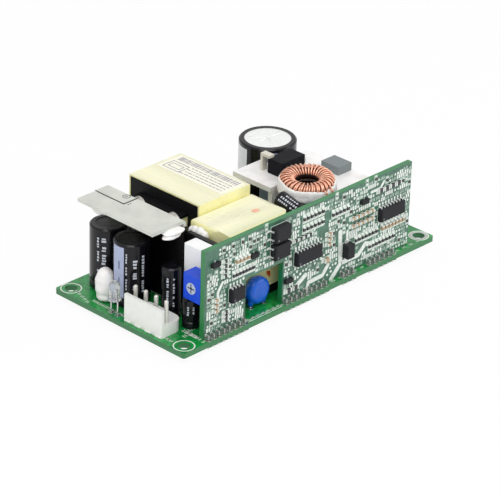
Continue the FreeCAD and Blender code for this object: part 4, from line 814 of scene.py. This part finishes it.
class SUPPLY_OT_headers(DressOperator):
    """Nylon headers, plated pins and all the component leads"""
    bl_idname = "supply.headers"
    bl_label = "Headers and leads"

    def dress(self, settings):
        nylon = mottled("header_nylon", ink(236, 237, 232), 1.6, 0.03, 0.42, depth=0.05,
                        Subsurface_Weight=0.12, Subsurface_Radius=(1 * MM, 1 * MM, 0.8 * MM))
        dress(nylon, "output_header_housing", "input_header_housing")
        pins = sheet_metal("pin_plate", ink(226, 224, 216), 0.22, (1, 1, 0.1), 0.02)
        dress(pins, "output_header_pins", "input_header_pins")
        dress(mottled("pin_tin", ink(158, 160, 156), 0.4, 0.25, 0.3, metallic=0.5), "control_board_pins")
        tin = mottled("wire_tin", ink(216, 217, 214), 0.6, 0.08, 0.24, metallic=0.9, depth=0.02)
        dress(tin, "component_leads", "capacitor_leads", "package_leads", "transformer_pins")
        solder = mottled("solder_joint", ink(206, 208, 208), 0.9, 0.12, 0.2, metallic=0.9, depth=0.06)
        dress(solder, "solder_feet", "solder_points")
        self.base_lugs(nylon)

    def base_lugs(self, nylon):
        """Moulded lugs under the output header's wall, which leave it a scalloped foot."""
        out, half, height = 0.35, 1.1, 0.5
        wall = corners("output_header_housing")[0]
        lugs = Shape()
        for low, high in islands("output_header_pins"):
            y = (low.y + high.y) / 2
            lugs.box((wall.x - out, y - half, wall.z), (wall.x + 0.02, y + half, wall.z + height))
        bevelled(lugs.make("header_lugs", nylon, "white_nylon"), 0.12)


# Capacitors

def sleeves(node, upright=True):
    """Centre, radius and height of the node's sleeves, either those that stand or those that lie."""
    return [((low + high) / 2, (high.x - low.x) / 2, low.z, high.z) for low, high in islands(node)
            if (abs((high.x - low.x) - (high.y - low.y)) < 0.3) == upright]


class SUPPLY_OT_capacitors(DressOperator):
    """Sleeves with their stripes, and the aluminium cans"""
    bl_idname = "supply.capacitors"
    bl_label = "Capacitors"

    def dress(self, settings):
        dress(shrunk_sleeve("capacitor_sleeve", ink(9, 9, 14)), "output_capacitor_sleeves",
              "auxiliary_capacitor_sleeves", "bulk_capacitor_sleeve")
        can = mottled("can_top", ink(244, 246, 244), 1.5, 0.04, 0.34, metallic=0.3, depth=0.03)
        dress(can, "bulk_capacitor_can")
        black_top = mottled("sleeved_top", ink(14, 14, 18), 1.5, 0.15, 0.35, depth=0.04,
                            Specular_IOR_Level=0.3)
        dress(black_top, "output_capacitor_cans", "auxiliary_capacitor_cans")
        self.stripe = mottled("stripe_ink", ink(168, 178, 208), 2.0, 0.06, 0.35)
        self.pale = mottled("print_ink", ink(200, 205, 214), 1.0, 0.08, 0.4)
        self.output_prints()
        self.auxiliary_prints()
        self.bulk_prints(can)

    def print_rows(self, shape, centre, radius, bottom, top, angles, rng):
        """Upright rows of short strokes in place of the printed rating."""
        for angle, size in angles:
            z = top - 2.6
            while z > bottom + 2.5:
                step = 0.55 + rng.random() * 0.5
                if rng.random() < 0.82:
                    left, right = (size * (0.35 + 0.2 * rng.random()) for side in range(2))
                    span = (angle - left, angle + right)
                    shape.wrap(centre, radius + PRINT_GAP, (z - step * 0.66, z), span, 3)
                z -= step

    def output_prints(self):
        """Stripes and ratings of the two output capacitors that the camera sees."""
        back, front = sorted(sleeves("output_capacitor_sleeves"), key=lambda sleeve: -sleeve[0].y)
        stripes, dashes, prints = Shape(), Shape(), Shape()
        rng = random.Random(3)
        for (centre, radius, bottom, top), span, steps, angles in (
                (front, (156, 201), 16, ((209, 5), (236, 13), (262, 9))),
                (back, (20, 54), 12, ((195, 7), (214, 14)))):
            stripes.wrap(centre, radius + PRINT_GAP, (bottom + 3.2, top - 0.9), span, steps)
            self.print_rows(prints, centre, radius, bottom + 3, top, angles, rng)
        centre, radius, bottom, top = front
        for i in range(3):
            z = top - 5.2 - i * 5.0
            dashes.wrap(centre, radius + PRINT_GAP + INK + 0.005, (z - 2.4, z), (182, 186), 2)
        stripes.make("output_capacitor_stripes", self.stripe, "sleeve_black")
        dashes.make("stripe_dashes", moulded("stripe_dash_ink", ink(70, 82, 118), 0.4, 0.01), "sleeve_black")
        prints.make("output_capacitor_print", self.pale, "sleeve_black")

    def auxiliary_prints(self):
        """Ratings of the small capacitors, the two upright ones and the lying one."""
        prints = Shape()
        rng = random.Random(8)
        for centre, radius, bottom, top in sleeves("auxiliary_capacitor_sleeves"):
            self.print_rows(prints, centre, radius, bottom + 2, top + 0.5, ((205, 14), (240, 12)), rng)
        for centre, radius, bottom, top in sleeves("auxiliary_capacitor_sleeves", upright=False):
            self.lying_print(prints, centre, radius, rng)
        prints.make("auxiliary_capacitor_print", self.pale, "sleeve_black")

    def lying_print(self, shape, centre, radius, rng):
        """The same strokes along the capacitor that lies on its side, its far end the higher."""
        turn = Matrix.Translation(centre) @ Matrix.Rotation(math.radians(LYING_TILT - 90), 4, "X")
        for angle, size in ((208, 12), (234, 14), (262, 12)):
            along = -3.0
            while along < 3.0:
                step = 0.5 + rng.random() * 0.6
                if rng.random() < 0.85:
                    span = (angle - size / 2, angle + size / 2)
                    shape.wrap((0, 0), radius + PRINT_GAP, (along, along + step * 0.6), span, 3, turn)
                along += step

    def bulk_prints(self, can):
        """Pale panel and stripe round the bulk capacitor, and the three ridges of the vent in its top."""
        centre, radius, bottom, top = sleeves("bulk_capacitor_sleeve")[0]
        panel = mottled("panel_ink", ink(226, 228, 232), 2.0, 0.03, 0.35)
        for name, material, span in (("bulk_capacitor_panel", panel, (133, 179)),
                                     ("bulk_capacitor_stripe", self.stripe, (210, 259))):
            patch = Shape()
            patch.wrap(centre, radius + PRINT_GAP, (bottom + 3.2, top - 1.3), span, 16)
            patch.make(name, material, "sleeve_black")
        ridges = Shape()
        middle = Vector((centre.x, centre.y, top - 0.19))
        for angle in (8, 128, 248):
            ridges.tube([middle, middle + spoke(math.radians(angle)) * (radius - 2.6)], 0.13, sides=6)
        ridges.make("vent_ridges", can, "can_aluminium", smooth=True)


# Indicator lamp and trimmer

class SUPPLY_OT_lamp_and_trimmer(DressOperator):
    """Clear indicator lamp with its frame inside, and the blue trimmer"""
    bl_idname = "supply.lamp_and_trimmer"
    bl_label = "Lamp and trimmer"

    def dress(self, settings):
        dress(clear_lens("lamp_epoxy", ink(244, 246, 248)), "indicator_lamp")
        blue = moulded("trimmer_moulding", ink(10, 72, 214), 0.35, 0.02, Specular_IOR_Level=0.3)
        dress(blue, "trimmer_body")
        dress(moulded("rotor_moulding", ink(176, 190, 214), 0.4, 0.02), "trimmer_rotor")
        self.lamp_frame()
        self.rotor_cross()

    def lamp_frame(self):
        """Two posts inside the lens, the cup on the taller one."""
        low, high = corners("indicator_lamp")
        x, y = (low.x + high.x) / 2, (low.y + high.y) / 2
        foot, thick, wide = 0.15, 0.2, 0.22
        posts = Shape()
        for side, top in ((y - 0.75, 3.3), (y + 0.75, 2.7)):
            posts.box((x - thick, side - wide, low.z + foot), (x + thick, side + wide, low.z + top))
        posts.box((x - 0.3, y - 0.95, low.z + 2.9), (x + 0.3, y - 0.15, low.z + 3.5))
        posts.make("lamp_frame", bpy.data.materials["wire_tin"], "tinned_metal")

    def rotor_cross(self):
        """Dark floor of the screwdriver slots in the rotor: painted shadow in the slots."""
        low, high = corners("trimmer_rotor")
        middle = (low + high) / 2
        floor = low.x + 0.2
        reach = (high.y - low.y) / 2 - 0.34
        cross = Shape()
        for a, b in ((0.3, reach), (reach, 0.3)):
            cross.box((floor, middle.y - a, middle.z - b), (floor + 0.4, middle.y + a, middle.z + b))
        dark = moulded("slot_shadow", ink(6, 6, 10), 0.7, 0.01, Specular_IOR_Level=0.1)
        cross.make("rotor_slots", dark, "rotor_white", body="rotor")


# Heatsinks and what is clamped to them

class SUPPLY_OT_heatsinks(DressOperator):
    """Sheet aluminium heatsinks, packages, clip, film and screws"""
    bl_idname = "supply.heatsinks"
    bl_label = "Heatsinks"

    def dress(self, settings):
        plain = sheet_metal("sink_sheet", ink(214, 216, 208), 0.42, (1, 0.06, 1))
        dress(plain, "output_heatsink", "second_output_heatsink")
        # The primary heatsink is the same bare aluminium as the others, painted near white: painted light
        # where the lamp floods its plate
        pale = sheet_metal("primary_sheet", ink(253, 251, 249), 0.36, (0.06, 1, 1), metallic=0.1)
        dress(pale, "primary_heatsink")
        black = moulded("package_moulding", ink(18, 18, 23), 0.5, 0.03, Specular_IOR_Level=0.1)
        dress(black, "output_rectifiers", "primary_transistor", "bridge_rectifier", "boost_diode")
        # The barrier sheet is real black plastic; the black of the film on the heatsink's leg is partly a
        # real insulating film, partly painted shade and painted reflection of the black capacitors
        film = mottled("black_film", ink(10, 10, 12), 2.0, 0.2, 0.32, depth=0.05, Specular_IOR_Level=0.3)
        dress(film, "heatsink_film", "barrier_sheet")
        zinc = mottled("screw_zinc", ink(196, 194, 186), 0.8, 0.1, 0.3, metallic=0.9, depth=0.02)
        dress(zinc, "heatsink_screws")
        dress(sheet_metal("clip_steel", ink(222, 218, 204), 0.3, (1, 1, 0.1)), "diode_clip")
        dress(moulded("switch_moulding", ink(124, 131, 132), 0.55, 0.03), "thermal_switch")
        dress(moulded("box_moulding", ink(253, 254, 255), 0.4, 0.02), "boxed_capacitor")
        self.stampings()

    def stampings(self):
        """Pressed rings on the small plate and two nicks beside it, drawn in painted shade, and a dark strip
        in the seam round it: painted shadow in the gap between the plates.
        """
        low, high = corners("second_output_heatsink")
        centre = (high.x - 2.2, low.y + 2.6, high.z)
        proud = 0.03
        marks = Shape()
        for outer, inner, sides in ((1.15, 0.95, 30), (0.45, 0.3, 20)):
            marks.disc(centre, outer, UP, proud, sides, inner)
        for x in (high.x - 5.4, high.x - 4.6):
            marks.box((x, low.y - 1.6, high.z), (x + 0.3, low.y - 1.1, high.z + proud))
        # Dark strip along the seam: painted shadow in the gap between the plates
        seam_low, seam_high = high.z - 0.1, high.z + 0.02
        marks.box((low.x, low.y - 0.2, seam_low), (high.x, low.y + 0.02, seam_high))
        marks.box((low.x - 0.2, low.y - 0.2, seam_low), (low.x + 0.02, high.y, seam_high))
        dark = mottled("stamp_shade", ink(66, 67, 62), 0.6, 0.15, 0.5)
        marks.make("stamped_marks", dark, "sink_aluminium")


# Transformer and choke

class SUPPLY_OT_transformer(DressOperator):
    """Ferrite, bobbin, tape and label of the transformer, and the taped choke"""
    bl_idname = "supply.transformer"
    bl_label = "Transformer and choke"

    def dress(self, settings):
        tape = yellow_tape("transformer_tape_layers", settings.tape, settings.tape_side, 0.12, "Y")
        dress(tape, "transformer_tape")
        dress(yellow_tape("winding_tape_layers", settings.tape, settings.tape_side, 0.15, "Y"),
              "transformer_winding")
        dress(yellow_tape("choke_tape_layers", settings.tape, settings.tape_side, 0.3, "X"), "choke_winding")
        ferrite = mottled("ferrite_face", ink(16, 16, 18), 0.5, 0.25, 0.6, depth=0.05,
                          Specular_IOR_Level=0.2)
        dress(ferrite, "transformer_core", "toroid_core", "filter_choke_core")
        phenolic = moulded("bobbin_phenolic", ink(14, 14, 17), 0.45, 0.04, Specular_IOR_Level=0.3)
        dress(phenolic, "transformer_bobbin", "choke_bases")
        dress(mottled("label_paper", ink(246, 243, 226), 3.0, 0.02, 0.5, depth=0.02), "transformer_label")
        self.label_bars()
        self.tape_ends(tape)
        self.choke_marks()

    def label_bars(self):
        """Plain grey bars and rules on the transformer's label."""
        low, high = corners("transformer_label")
        sheet = level_print(high.z, INK)
        rng = random.Random(5)
        y = low.y + 0.9
        while y < high.y - 1.0:
            width = 0.22 + 0.3 * rng.random()
            sheet.bar((high.x - 2.9, high.x - 0.6), (y, y + width))
            y += width + 0.25 + 0.25 * rng.random()
        for x in (low.x + 1.2, low.x + 2.6, low.x + 4.0, low.x + 5.3):
            y = low.y + 1.0
            while y < high.y - 8.5:
                length = 0.5 + 1.2 * rng.random()
                sheet.bar((x, x + 0.35), (y, y + length))
                y += length + 0.35
        sheet.frame((low.x + 0.9, low.x + 5.6), (high.y - 7.6, high.y - 1.1), 0.28)
        sheet.frame((low.x + 2.1, low.x + 4.4), (high.y - 6.6, high.y - 2.1), 0.25)
        grey = mottled("label_ink", ink(150, 150, 160), 1.0, 0.08, 0.5)
        sheet.shape.make("label_bars", grey, "label_white")

    def tape_ends(self, tape):
        """Cut end and lapped edges of the tape over the transformer's top and side."""
        low, high = corners("transformer_tape")
        sunk = 0.02
        laps = Shape()
        laps.box((low.x + 0.15, low.y - 0.06, low.z + 0.4), (high.x - 0.3, low.y + sunk, high.z - 5.2))
        laps.box((low.x + 0.3, low.y + 3.0, high.z - sunk), (low.x + 4.4, high.y - 2.0, high.z + 0.05))
        bevelled(laps.make("tape_laps", tape, "tape_yellow"), 0.03, 1)

    def choke_marks(self):
        """Long pink spot on the choke's top, and the red patch on the side that shows through the notch."""
        low, high = corners("choke_winding")
        x = high.x - 10.1
        spot = Shape()
        stretch = 1.5
        spot.disc((x, low.y + 5.1, high.z), 0.9, UP, 0.03, 20)
        for vert in spot.bm.verts:
            vert.co.x = x + (vert.co.x - x) * stretch
        spot.make("choke_spot", mottled("spot_ink", ink(240, 178, 150), 0.8, 0.1, 0.45), "tape_yellow")
        beside = corners("disc_capacitor")[1]
        x, z = beside.x + 1.7, beside.z - 1.0
        mark = Shape()
        step, overlap = 0.5, 0.02
        for i, drop in enumerate((1.1, 1.7, 2.3)):
            start = x + i * step
            mark.box((start, low.y - INK, z - drop), (start + step + overlap, low.y + 0.3, z - i * 0.2))
        red = mottled("side_mark_ink", ink(214, 84, 34), 0.8, 0.15, 0.5)
        mark.make("choke_side_mark", red, "tape_yellow")


# Toroid

def ring_tilt():
    """The toroid leans a little to the left in its bed."""
    return Matrix.Rotation(math.radians(RING_TILT), 3, spoke(RING_AXIS))


class SUPPLY_OT_toroid(DressOperator):
    """Copper turns of the toroid, one by one, and the line filter's windings"""
    bl_idname = "supply.toroid"
    bl_label = "Toroid"

    def dress(self, settings):
        copper = enamelled_wire("copper_enamel", settings.copper)
        dress(copper, "filter_choke_windings")
        low, high = islands("toroid_core")[0]
        centre = (low + high) / 2
        radius = (high.x - low.x) / 2 - (high.z - low.z) / 2
        wire = settings.wire / MM / 2
        wound_low, wound_high = corners("toroid_winding")
        reach = wound_high.z - centre.z - wire
        tilt = ring_tilt()
        pitch = math.tau / settings.turns
        coil = Shape()
        for layer, (sink, inner, thick) in enumerate(((0.0, -0.3, 1.0), (0.55, 1.3, 1.5))):
            for i in range(settings.turns):
                path = self.turn(pitch * (i + layer / 2), radius, reach - sink, inner, pitch * radius * 0.3)
                coil.tube([centre + tilt @ point for point in path], wire * thick, closed=True)
        floor = corners("main_board")[0].z
        lead_y = wound_low.y + wire
        edge = centre.y - radius - reach + 0.4
        apart = 1.2
        for x in (centre.x - apart, centre.x + apart):
            coil.tube([(x, lead_y, floor), (x, lead_y, centre.z - 1.2), (x, lead_y + 0.15, centre.z - 0.4),
                       (x, lead_y + 0.6, centre.z), (x, edge, centre.z)], wire * 0.95)
        winding = coil.make("toroid_turns", copper, "copper_wire", smooth=True)
        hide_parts("toroid_winding")
        self.bore(centre, tilt, radius, reach - wire * 0.2)

    def bore(self, centre, tilt, radius, reach):
        """Dark liner round the hole behind the turns, and a dark disc on the plate inside it: painted shadow
        of the hole.
        """
        loops = []
        for i in range(72):
            outward = spoke(math.tau * i / 72)
            loop = []
            for degrees in (118, 130, 145, 155, 165, 175, 185, 200, 220, 242):
                angle = math.radians(degrees)
                drawn = reach + 0.95 * min(1.0, max(0.0, (degrees - 155) / 30))
                point = outward * (radius + drawn * math.cos(angle)) + UP * reach * math.sin(angle)
                loop.append(centre + tilt @ point)
            loops.append(loop)
        liner = Shape()
        liner.skin(loops, True)
        plate = corners("primary_heatsink")[1].z
        # Dark disc on the plate inside the hole: painted shadow
        liner.disc((centre.x, centre.y, plate + 0.02), radius - 1.5, UP, 0.7, 48)
        dark = moulded("bore_shadow", ink(26, 12, 8), 0.7, 0.02, Specular_IOR_Level=0.1)
        liner.make("toroid_bore", dark, "ferrite", smooth=True)

    def turn(self, angle, radius, reach, inner, lean):
        """Points of one turn about the ring's centre, leaning by a little way from its top to its foot."""
        outward, sideways = spoke(angle), spoke(angle + math.pi / 2) * lean
        path = []
        for c, s in circle(20):
            drawn = reach - inner * max(0.0, -c)
            path.append(outward * (radius + c * drawn) + sideways * s + UP * s * reach)
        return path


# Silicone

class SUPPLY_OT_silicone(DressOperator):
    """White silicone with its free, lumpy shape"""
    bl_idname = "supply.silicone"
    bl_label = "Silicone"

    def dress(self, settings):
        white = silicone("silicone_white", ink(247, 245, 243))
        self.lumps = Shape()
        for low, high in islands("adhesive"):
            size = (high - low) / 2
            centre = (low + high) / 2
            if size.x > 7:
                self.skirt(centre, size, low, high)
            elif size.z > 4:
                self.bead(centre, size, low)
            elif size.x > 3.5:
                self.lip(centre, size, low, high)
            elif size.x < 1.5:
                self.folds(centre, size, low, high)
            else:
                self.lumps.ball(centre, (size.x, size.y, size.z * 1.1))
        piece = self.lumps.make("silicone_beads", white, "silicone_white", smooth=True)
        grain = 0.22
        remesh = piece.modifiers.new("skin", "REMESH")
        remesh.mode = "VOXEL"
        remesh.voxel_size = grain * MM
        smooth = piece.modifiers.new("slump", "SMOOTH")
        smooth.factor = 0.6
        smooth.iterations = 6
        apply_modifiers(piece)
        self.settle(piece)
        piece.data.shade_smooth()
        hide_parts("adhesive")

    def bead(self, centre, size, low):
        """Tall egg beside the output capacitors."""
        self.lumps.ball(centre, (size.y * 1.1, size.y * 1.1, size.z))
        self.lumps.ball((centre.x, centre.y, low.z + 1.6), (size.y * 0.96, size.y * 0.96, 1.8))

    def lip(self, centre, size, low, high):
        """Two flat layers squeezed out from under the heatsink's edge, and the one on top of them."""
        self.lumps.ball((centre.x + 0.3, low.y + 1.7, low.z + 1.55), (size.x * 0.95, 1.7, 0.6))
        self.lumps.ball((centre.x - 0.5, low.y + 2.0, low.z + 0.45), (size.x * 0.85, 1.8, 0.6))
        self.lumps.ball((centre.x, centre.y, high.z - 0.5), (size.x * 0.9, size.y, 0.6))

    def folds(self, centre, size, low, high):
        """Drawn-out lump between the barrier and the choke."""
        for share, drop, reach in ((0.12, 1.5, 1.1), (0.4, 0.9, 1.5), (0.72, 1.2, 1.3), (0.95, 1.7, 0.9)):
            y = low.y + (high.y - low.y) * share
            self.lumps.ball((centre.x, y, high.z - drop), (size.x * 1.1, reach, 1.5))

    def skirt(self, centre, size, low, high):
        """Ring under the toroid, fuller at the front, and the film drawn up round its outer side."""
        rng = random.Random(13)
        for i in range(48):
            angle = math.tau * i / 48
            front = max(0.0, -math.sin(angle - 0.4))
            height = (high.z - low.z) * (0.8 + 0.75 * front + 0.3 * rng.random())
            place = centre + spoke(angle) * (size.x - 0.85)
            self.lumps.ball((place.x, place.y, low.z + height * 0.3), (1.0, 1.0, height * 0.75))
        core_low, core_high = corners("toroid_core")
        tilt = ring_tilt()
        film = 0.5
        reach = size.x - 0.45
        loops = []
        for i in range(72):
            angle = math.tau * i / 72
            outward = spoke(angle)
            wave = 0.9 * abs(math.cos(angle)) + 0.5 * max(0.0, math.sin(angle)) + 0.2 * math.sin(5 * angle)
            top = (core_low.z + core_high.z) / 2 + (tilt @ outward).z * reach + 0.15 + wave
            middle = Vector((centre.x, centre.y, (low.z + top) / 2))
            rise = UP * (top - low.z) / 2
            loops.append([middle + outward * (reach + film * c) + rise * s for c, s in circle(12)])
        self.lumps.skin(loops, True)

    def settle(self, piece):
        """Small unevenness of the surface, its waves a little under two millimetres long."""
        waves, height = 0.55, 0.16
        vertices = piece.data.vertices
        normals = [Vector(vert.normal) for vert in vertices]
        for vert, normal in zip(vertices, normals):
            vert.co += normal * (noise.noise(vert.co / MM * waves) * height * MM)


# Line side

class SUPPLY_OT_line_parts(DressOperator):
    """Line capacitor, fuse, inrush limiter and disc capacitor"""
    bl_idname = "supply.line_parts"
    bl_label = "Line side"

    def dress(self, settings):
        dress(moulded("line_capacitor_box", ink(150, 152, 154), 0.45, 0.03), "line_capacitor")
        dress(moulded("fuse_moulding", ink(104, 66, 46), 0.35, 0.02, Coat_Weight=0.3), "fuse")
        dress(mottled("limiter_resin", ink(40, 82, 66), 0.8, 0.12, 0.35, depth=0.12), "inrush_limiter")
        resin = mottled("disc_resin", ink(6, 86, 194), 1.6, 0.1, 0.18, depth=0.1, Specular_IOR_Level=0.4)
        dress(resin, "disc_capacitor")
        low, high = corners("disc_capacitor")
        x, y, foot = (low.x + high.x) / 2, (low.y + high.y) / 2, low.z + 1.1
        room = foot - corners("main_board")[1].z - 0.05
        runs = Shape()
        for lead, reach in ((x - 2.5, 1.6), (x + 2.5, 2.3)):
            runs.ball((lead, y, foot), (0.8, 0.9, min(reach, room)))
        runs.make("disc_resin_runs", resin, "disc_blue", smooth=True)


# Stage

class SUPPLY_OT_stage(bpy.types.Operator):
    """Pale floor, soft lamps and the camera"""
    bl_idname = "supply.stage"
    bl_label = "Stage"

    def execute(self, context):
        settings = context.scene.stage_look
        self.floor()
        self.surround(settings)
        self.lamp("key_lamp", settings.lamp_power, (-0.32, -0.30, 0.62), 0.55)
        self.lamp("fill_lamp", settings.fill_power, (0.45, -0.55, 0.30), 0.6)
        self.camera(settings)
        context.scene.view_settings.view_transform = "Standard"
        return {"FINISHED"}

    def white_for_camera(self, tree, plain, kind, end, share):
        """Mixes a plain shader with a share of white light for camera, glossy and transmission rays."""
        path = grown(tree, "ShaderNodeLightPath", {})
        rays = path.outputs["Is Camera Ray"]
        for name in ("Is Glossy Ray", "Is Transmission Ray"):
            sockets = {0: rays, 1: path.outputs[name]}
            rays = grown(tree, "ShaderNodeMath", sockets, operation="ADD", use_clamp=True).outputs["Value"]
        scale = grown(tree, "ShaderNodeMath", {0: rays, 1: share}, operation="MULTIPLY")
        white = grown(tree, kind, {"Strength": 1.0})
        sockets = {"Fac": scale.outputs["Value"], 1: plain.outputs[0], 2: white.outputs[0]}
        mixer = grown(tree, "ShaderNodeMixShader", sockets)
        feed(tree, tree.nodes[end], {"Surface": mixer.outputs["Shader"]})

    def floor(self):
        """Wide sheet of paper under the part's lowest point."""
        reach, low = 6.0, CAD_BOX[0].z
        square = ((-reach, -reach), (reach, -reach), (reach, reach), (-reach, reach))
        mesh = bpy.data.meshes.new("floor")
        mesh.from_pydata([(x, y, low) for x, y in square], [], [(0, 1, 2, 3)])
        floor = bpy.data.objects.new("floor", mesh)
        bpy.context.scene.collection.objects.link(floor)
        material = bpy.data.materials.new("floor_paper")
        material.use_nodes = True
        tree = material.node_tree
        surface = tree.nodes["Principled BSDF"]
        feed(tree, surface, {"Base Color": (0.9, 0.9, 0.9, 1), "Roughness": 0.9})
        self.white_for_camera(tree, surface, "ShaderNodeEmission", "Material Output", 0.93)
        mesh.materials.append(material)

    def surround(self, settings):
        """Even light from all round, seen as white."""
        world = bpy.data.worlds.new("surround")
        bpy.context.scene.world = world
        world.use_nodes = True
        plain = world.node_tree.nodes["Background"]
        feed(world.node_tree, plain, {"Color": (1, 1, 1, 1), "Strength": settings.surround})
        self.white_for_camera(world.node_tree, plain, "ShaderNodeBackground", "World Output", 1.0)

    def lamp(self, name, power, place, size):
        """Square lamp that points at the origin."""
        data = bpy.data.lights.new(name, "AREA")
        data.energy = power
        data.size = size
        lamp = bpy.data.objects.new(name, data)
        lamp.location = place
        lamp.rotation_euler = (-Vector(place)).to_track_quat("-Z", "Y").to_euler()
        bpy.context.scene.collection.objects.link(lamp)

    def camera(self, settings):
        """Camera of the photo: where it stands, how it is turned and how long its lens is."""
        target = Vector((-6.598, -6.559, 10.0)) * MM
        focal_pixels = 2668.401
        picture_pixels = 500
        a, e, roll = settings.azimuth, settings.elevation, settings.roll
        back = Vector((math.sin(a) * math.cos(e), -math.cos(a) * math.cos(e), math.sin(e)))
        right = spoke(a)
        up = back.cross(right)
        turned_right = right * math.cos(roll) + up * math.sin(roll)
        turned_up = up * math.cos(roll) - right * math.sin(roll)
        data = bpy.data.cameras.new("camera")
        data.sensor_width = 36.0
        data.lens = focal_pixels / picture_pixels * data.sensor_width
        data.clip_start = 0.05
        data.clip_end = 20.0
        camera = bpy.data.objects.new("camera", data)
        axes = Matrix((turned_right, turned_up, back)).transposed().to_4x4()
        camera.matrix_world = Matrix.Translation(target + back * settings.distance) @ axes
        bpy.context.scene.collection.objects.link(camera)
        bpy.context.scene.camera = camera


OPERATORS = (SUPPLY_OT_main_board, SUPPLY_OT_control_board, SUPPLY_OT_chips, SUPPLY_OT_headers,
             SUPPLY_OT_capacitors, SUPPLY_OT_lamp_and_trimmer, SUPPLY_OT_heatsinks, SUPPLY_OT_transformer,
             SUPPLY_OT_toroid, SUPPLY_OT_silicone, SUPPLY_OT_line_parts, SUPPLY_OT_stage)


class SUPPLY_PT_panel(bpy.types.Panel):
    """Lists the supply's pieces in the sidebar"""
    bl_idname = "SUPPLY_PT_panel"
    bl_label = "Power supply"
    bl_space_type = "VIEW_3D"
    bl_region_type = "UI"
    bl_category = "Supply"

    def draw(self, context):
        for operator in OPERATORS:
            self.layout.operator(operator.bl_idname)
        for group in (context.scene.supply_look, context.scene.stage_look):
            for name in group.bl_rna.properties.keys():
                if name not in ("rna_type", "name"):
                    self.layout.prop(group, name)


CLASSES = (SupplyLook, StageLook, *OPERATORS, SUPPLY_PT_panel)


def register():
    for item in CLASSES:
        bpy.utils.register_class(item)
    bpy.types.Scene.supply_look = PointerProperty(type=SupplyLook)
    bpy.types.Scene.stage_look = PointerProperty(type=StageLook)


def unregister():
    del bpy.types.Scene.stage_look
    del bpy.types.Scene.supply_look
    for item in reversed(CLASSES):
        bpy.utils.unregister_class(item)


def main():
    register()
    for operator in OPERATORS:
        group, name = operator.bl_idname.split(".")
        getattr(getattr(bpy.ops, group), name)()


if __name__ == "__main__":
    main()
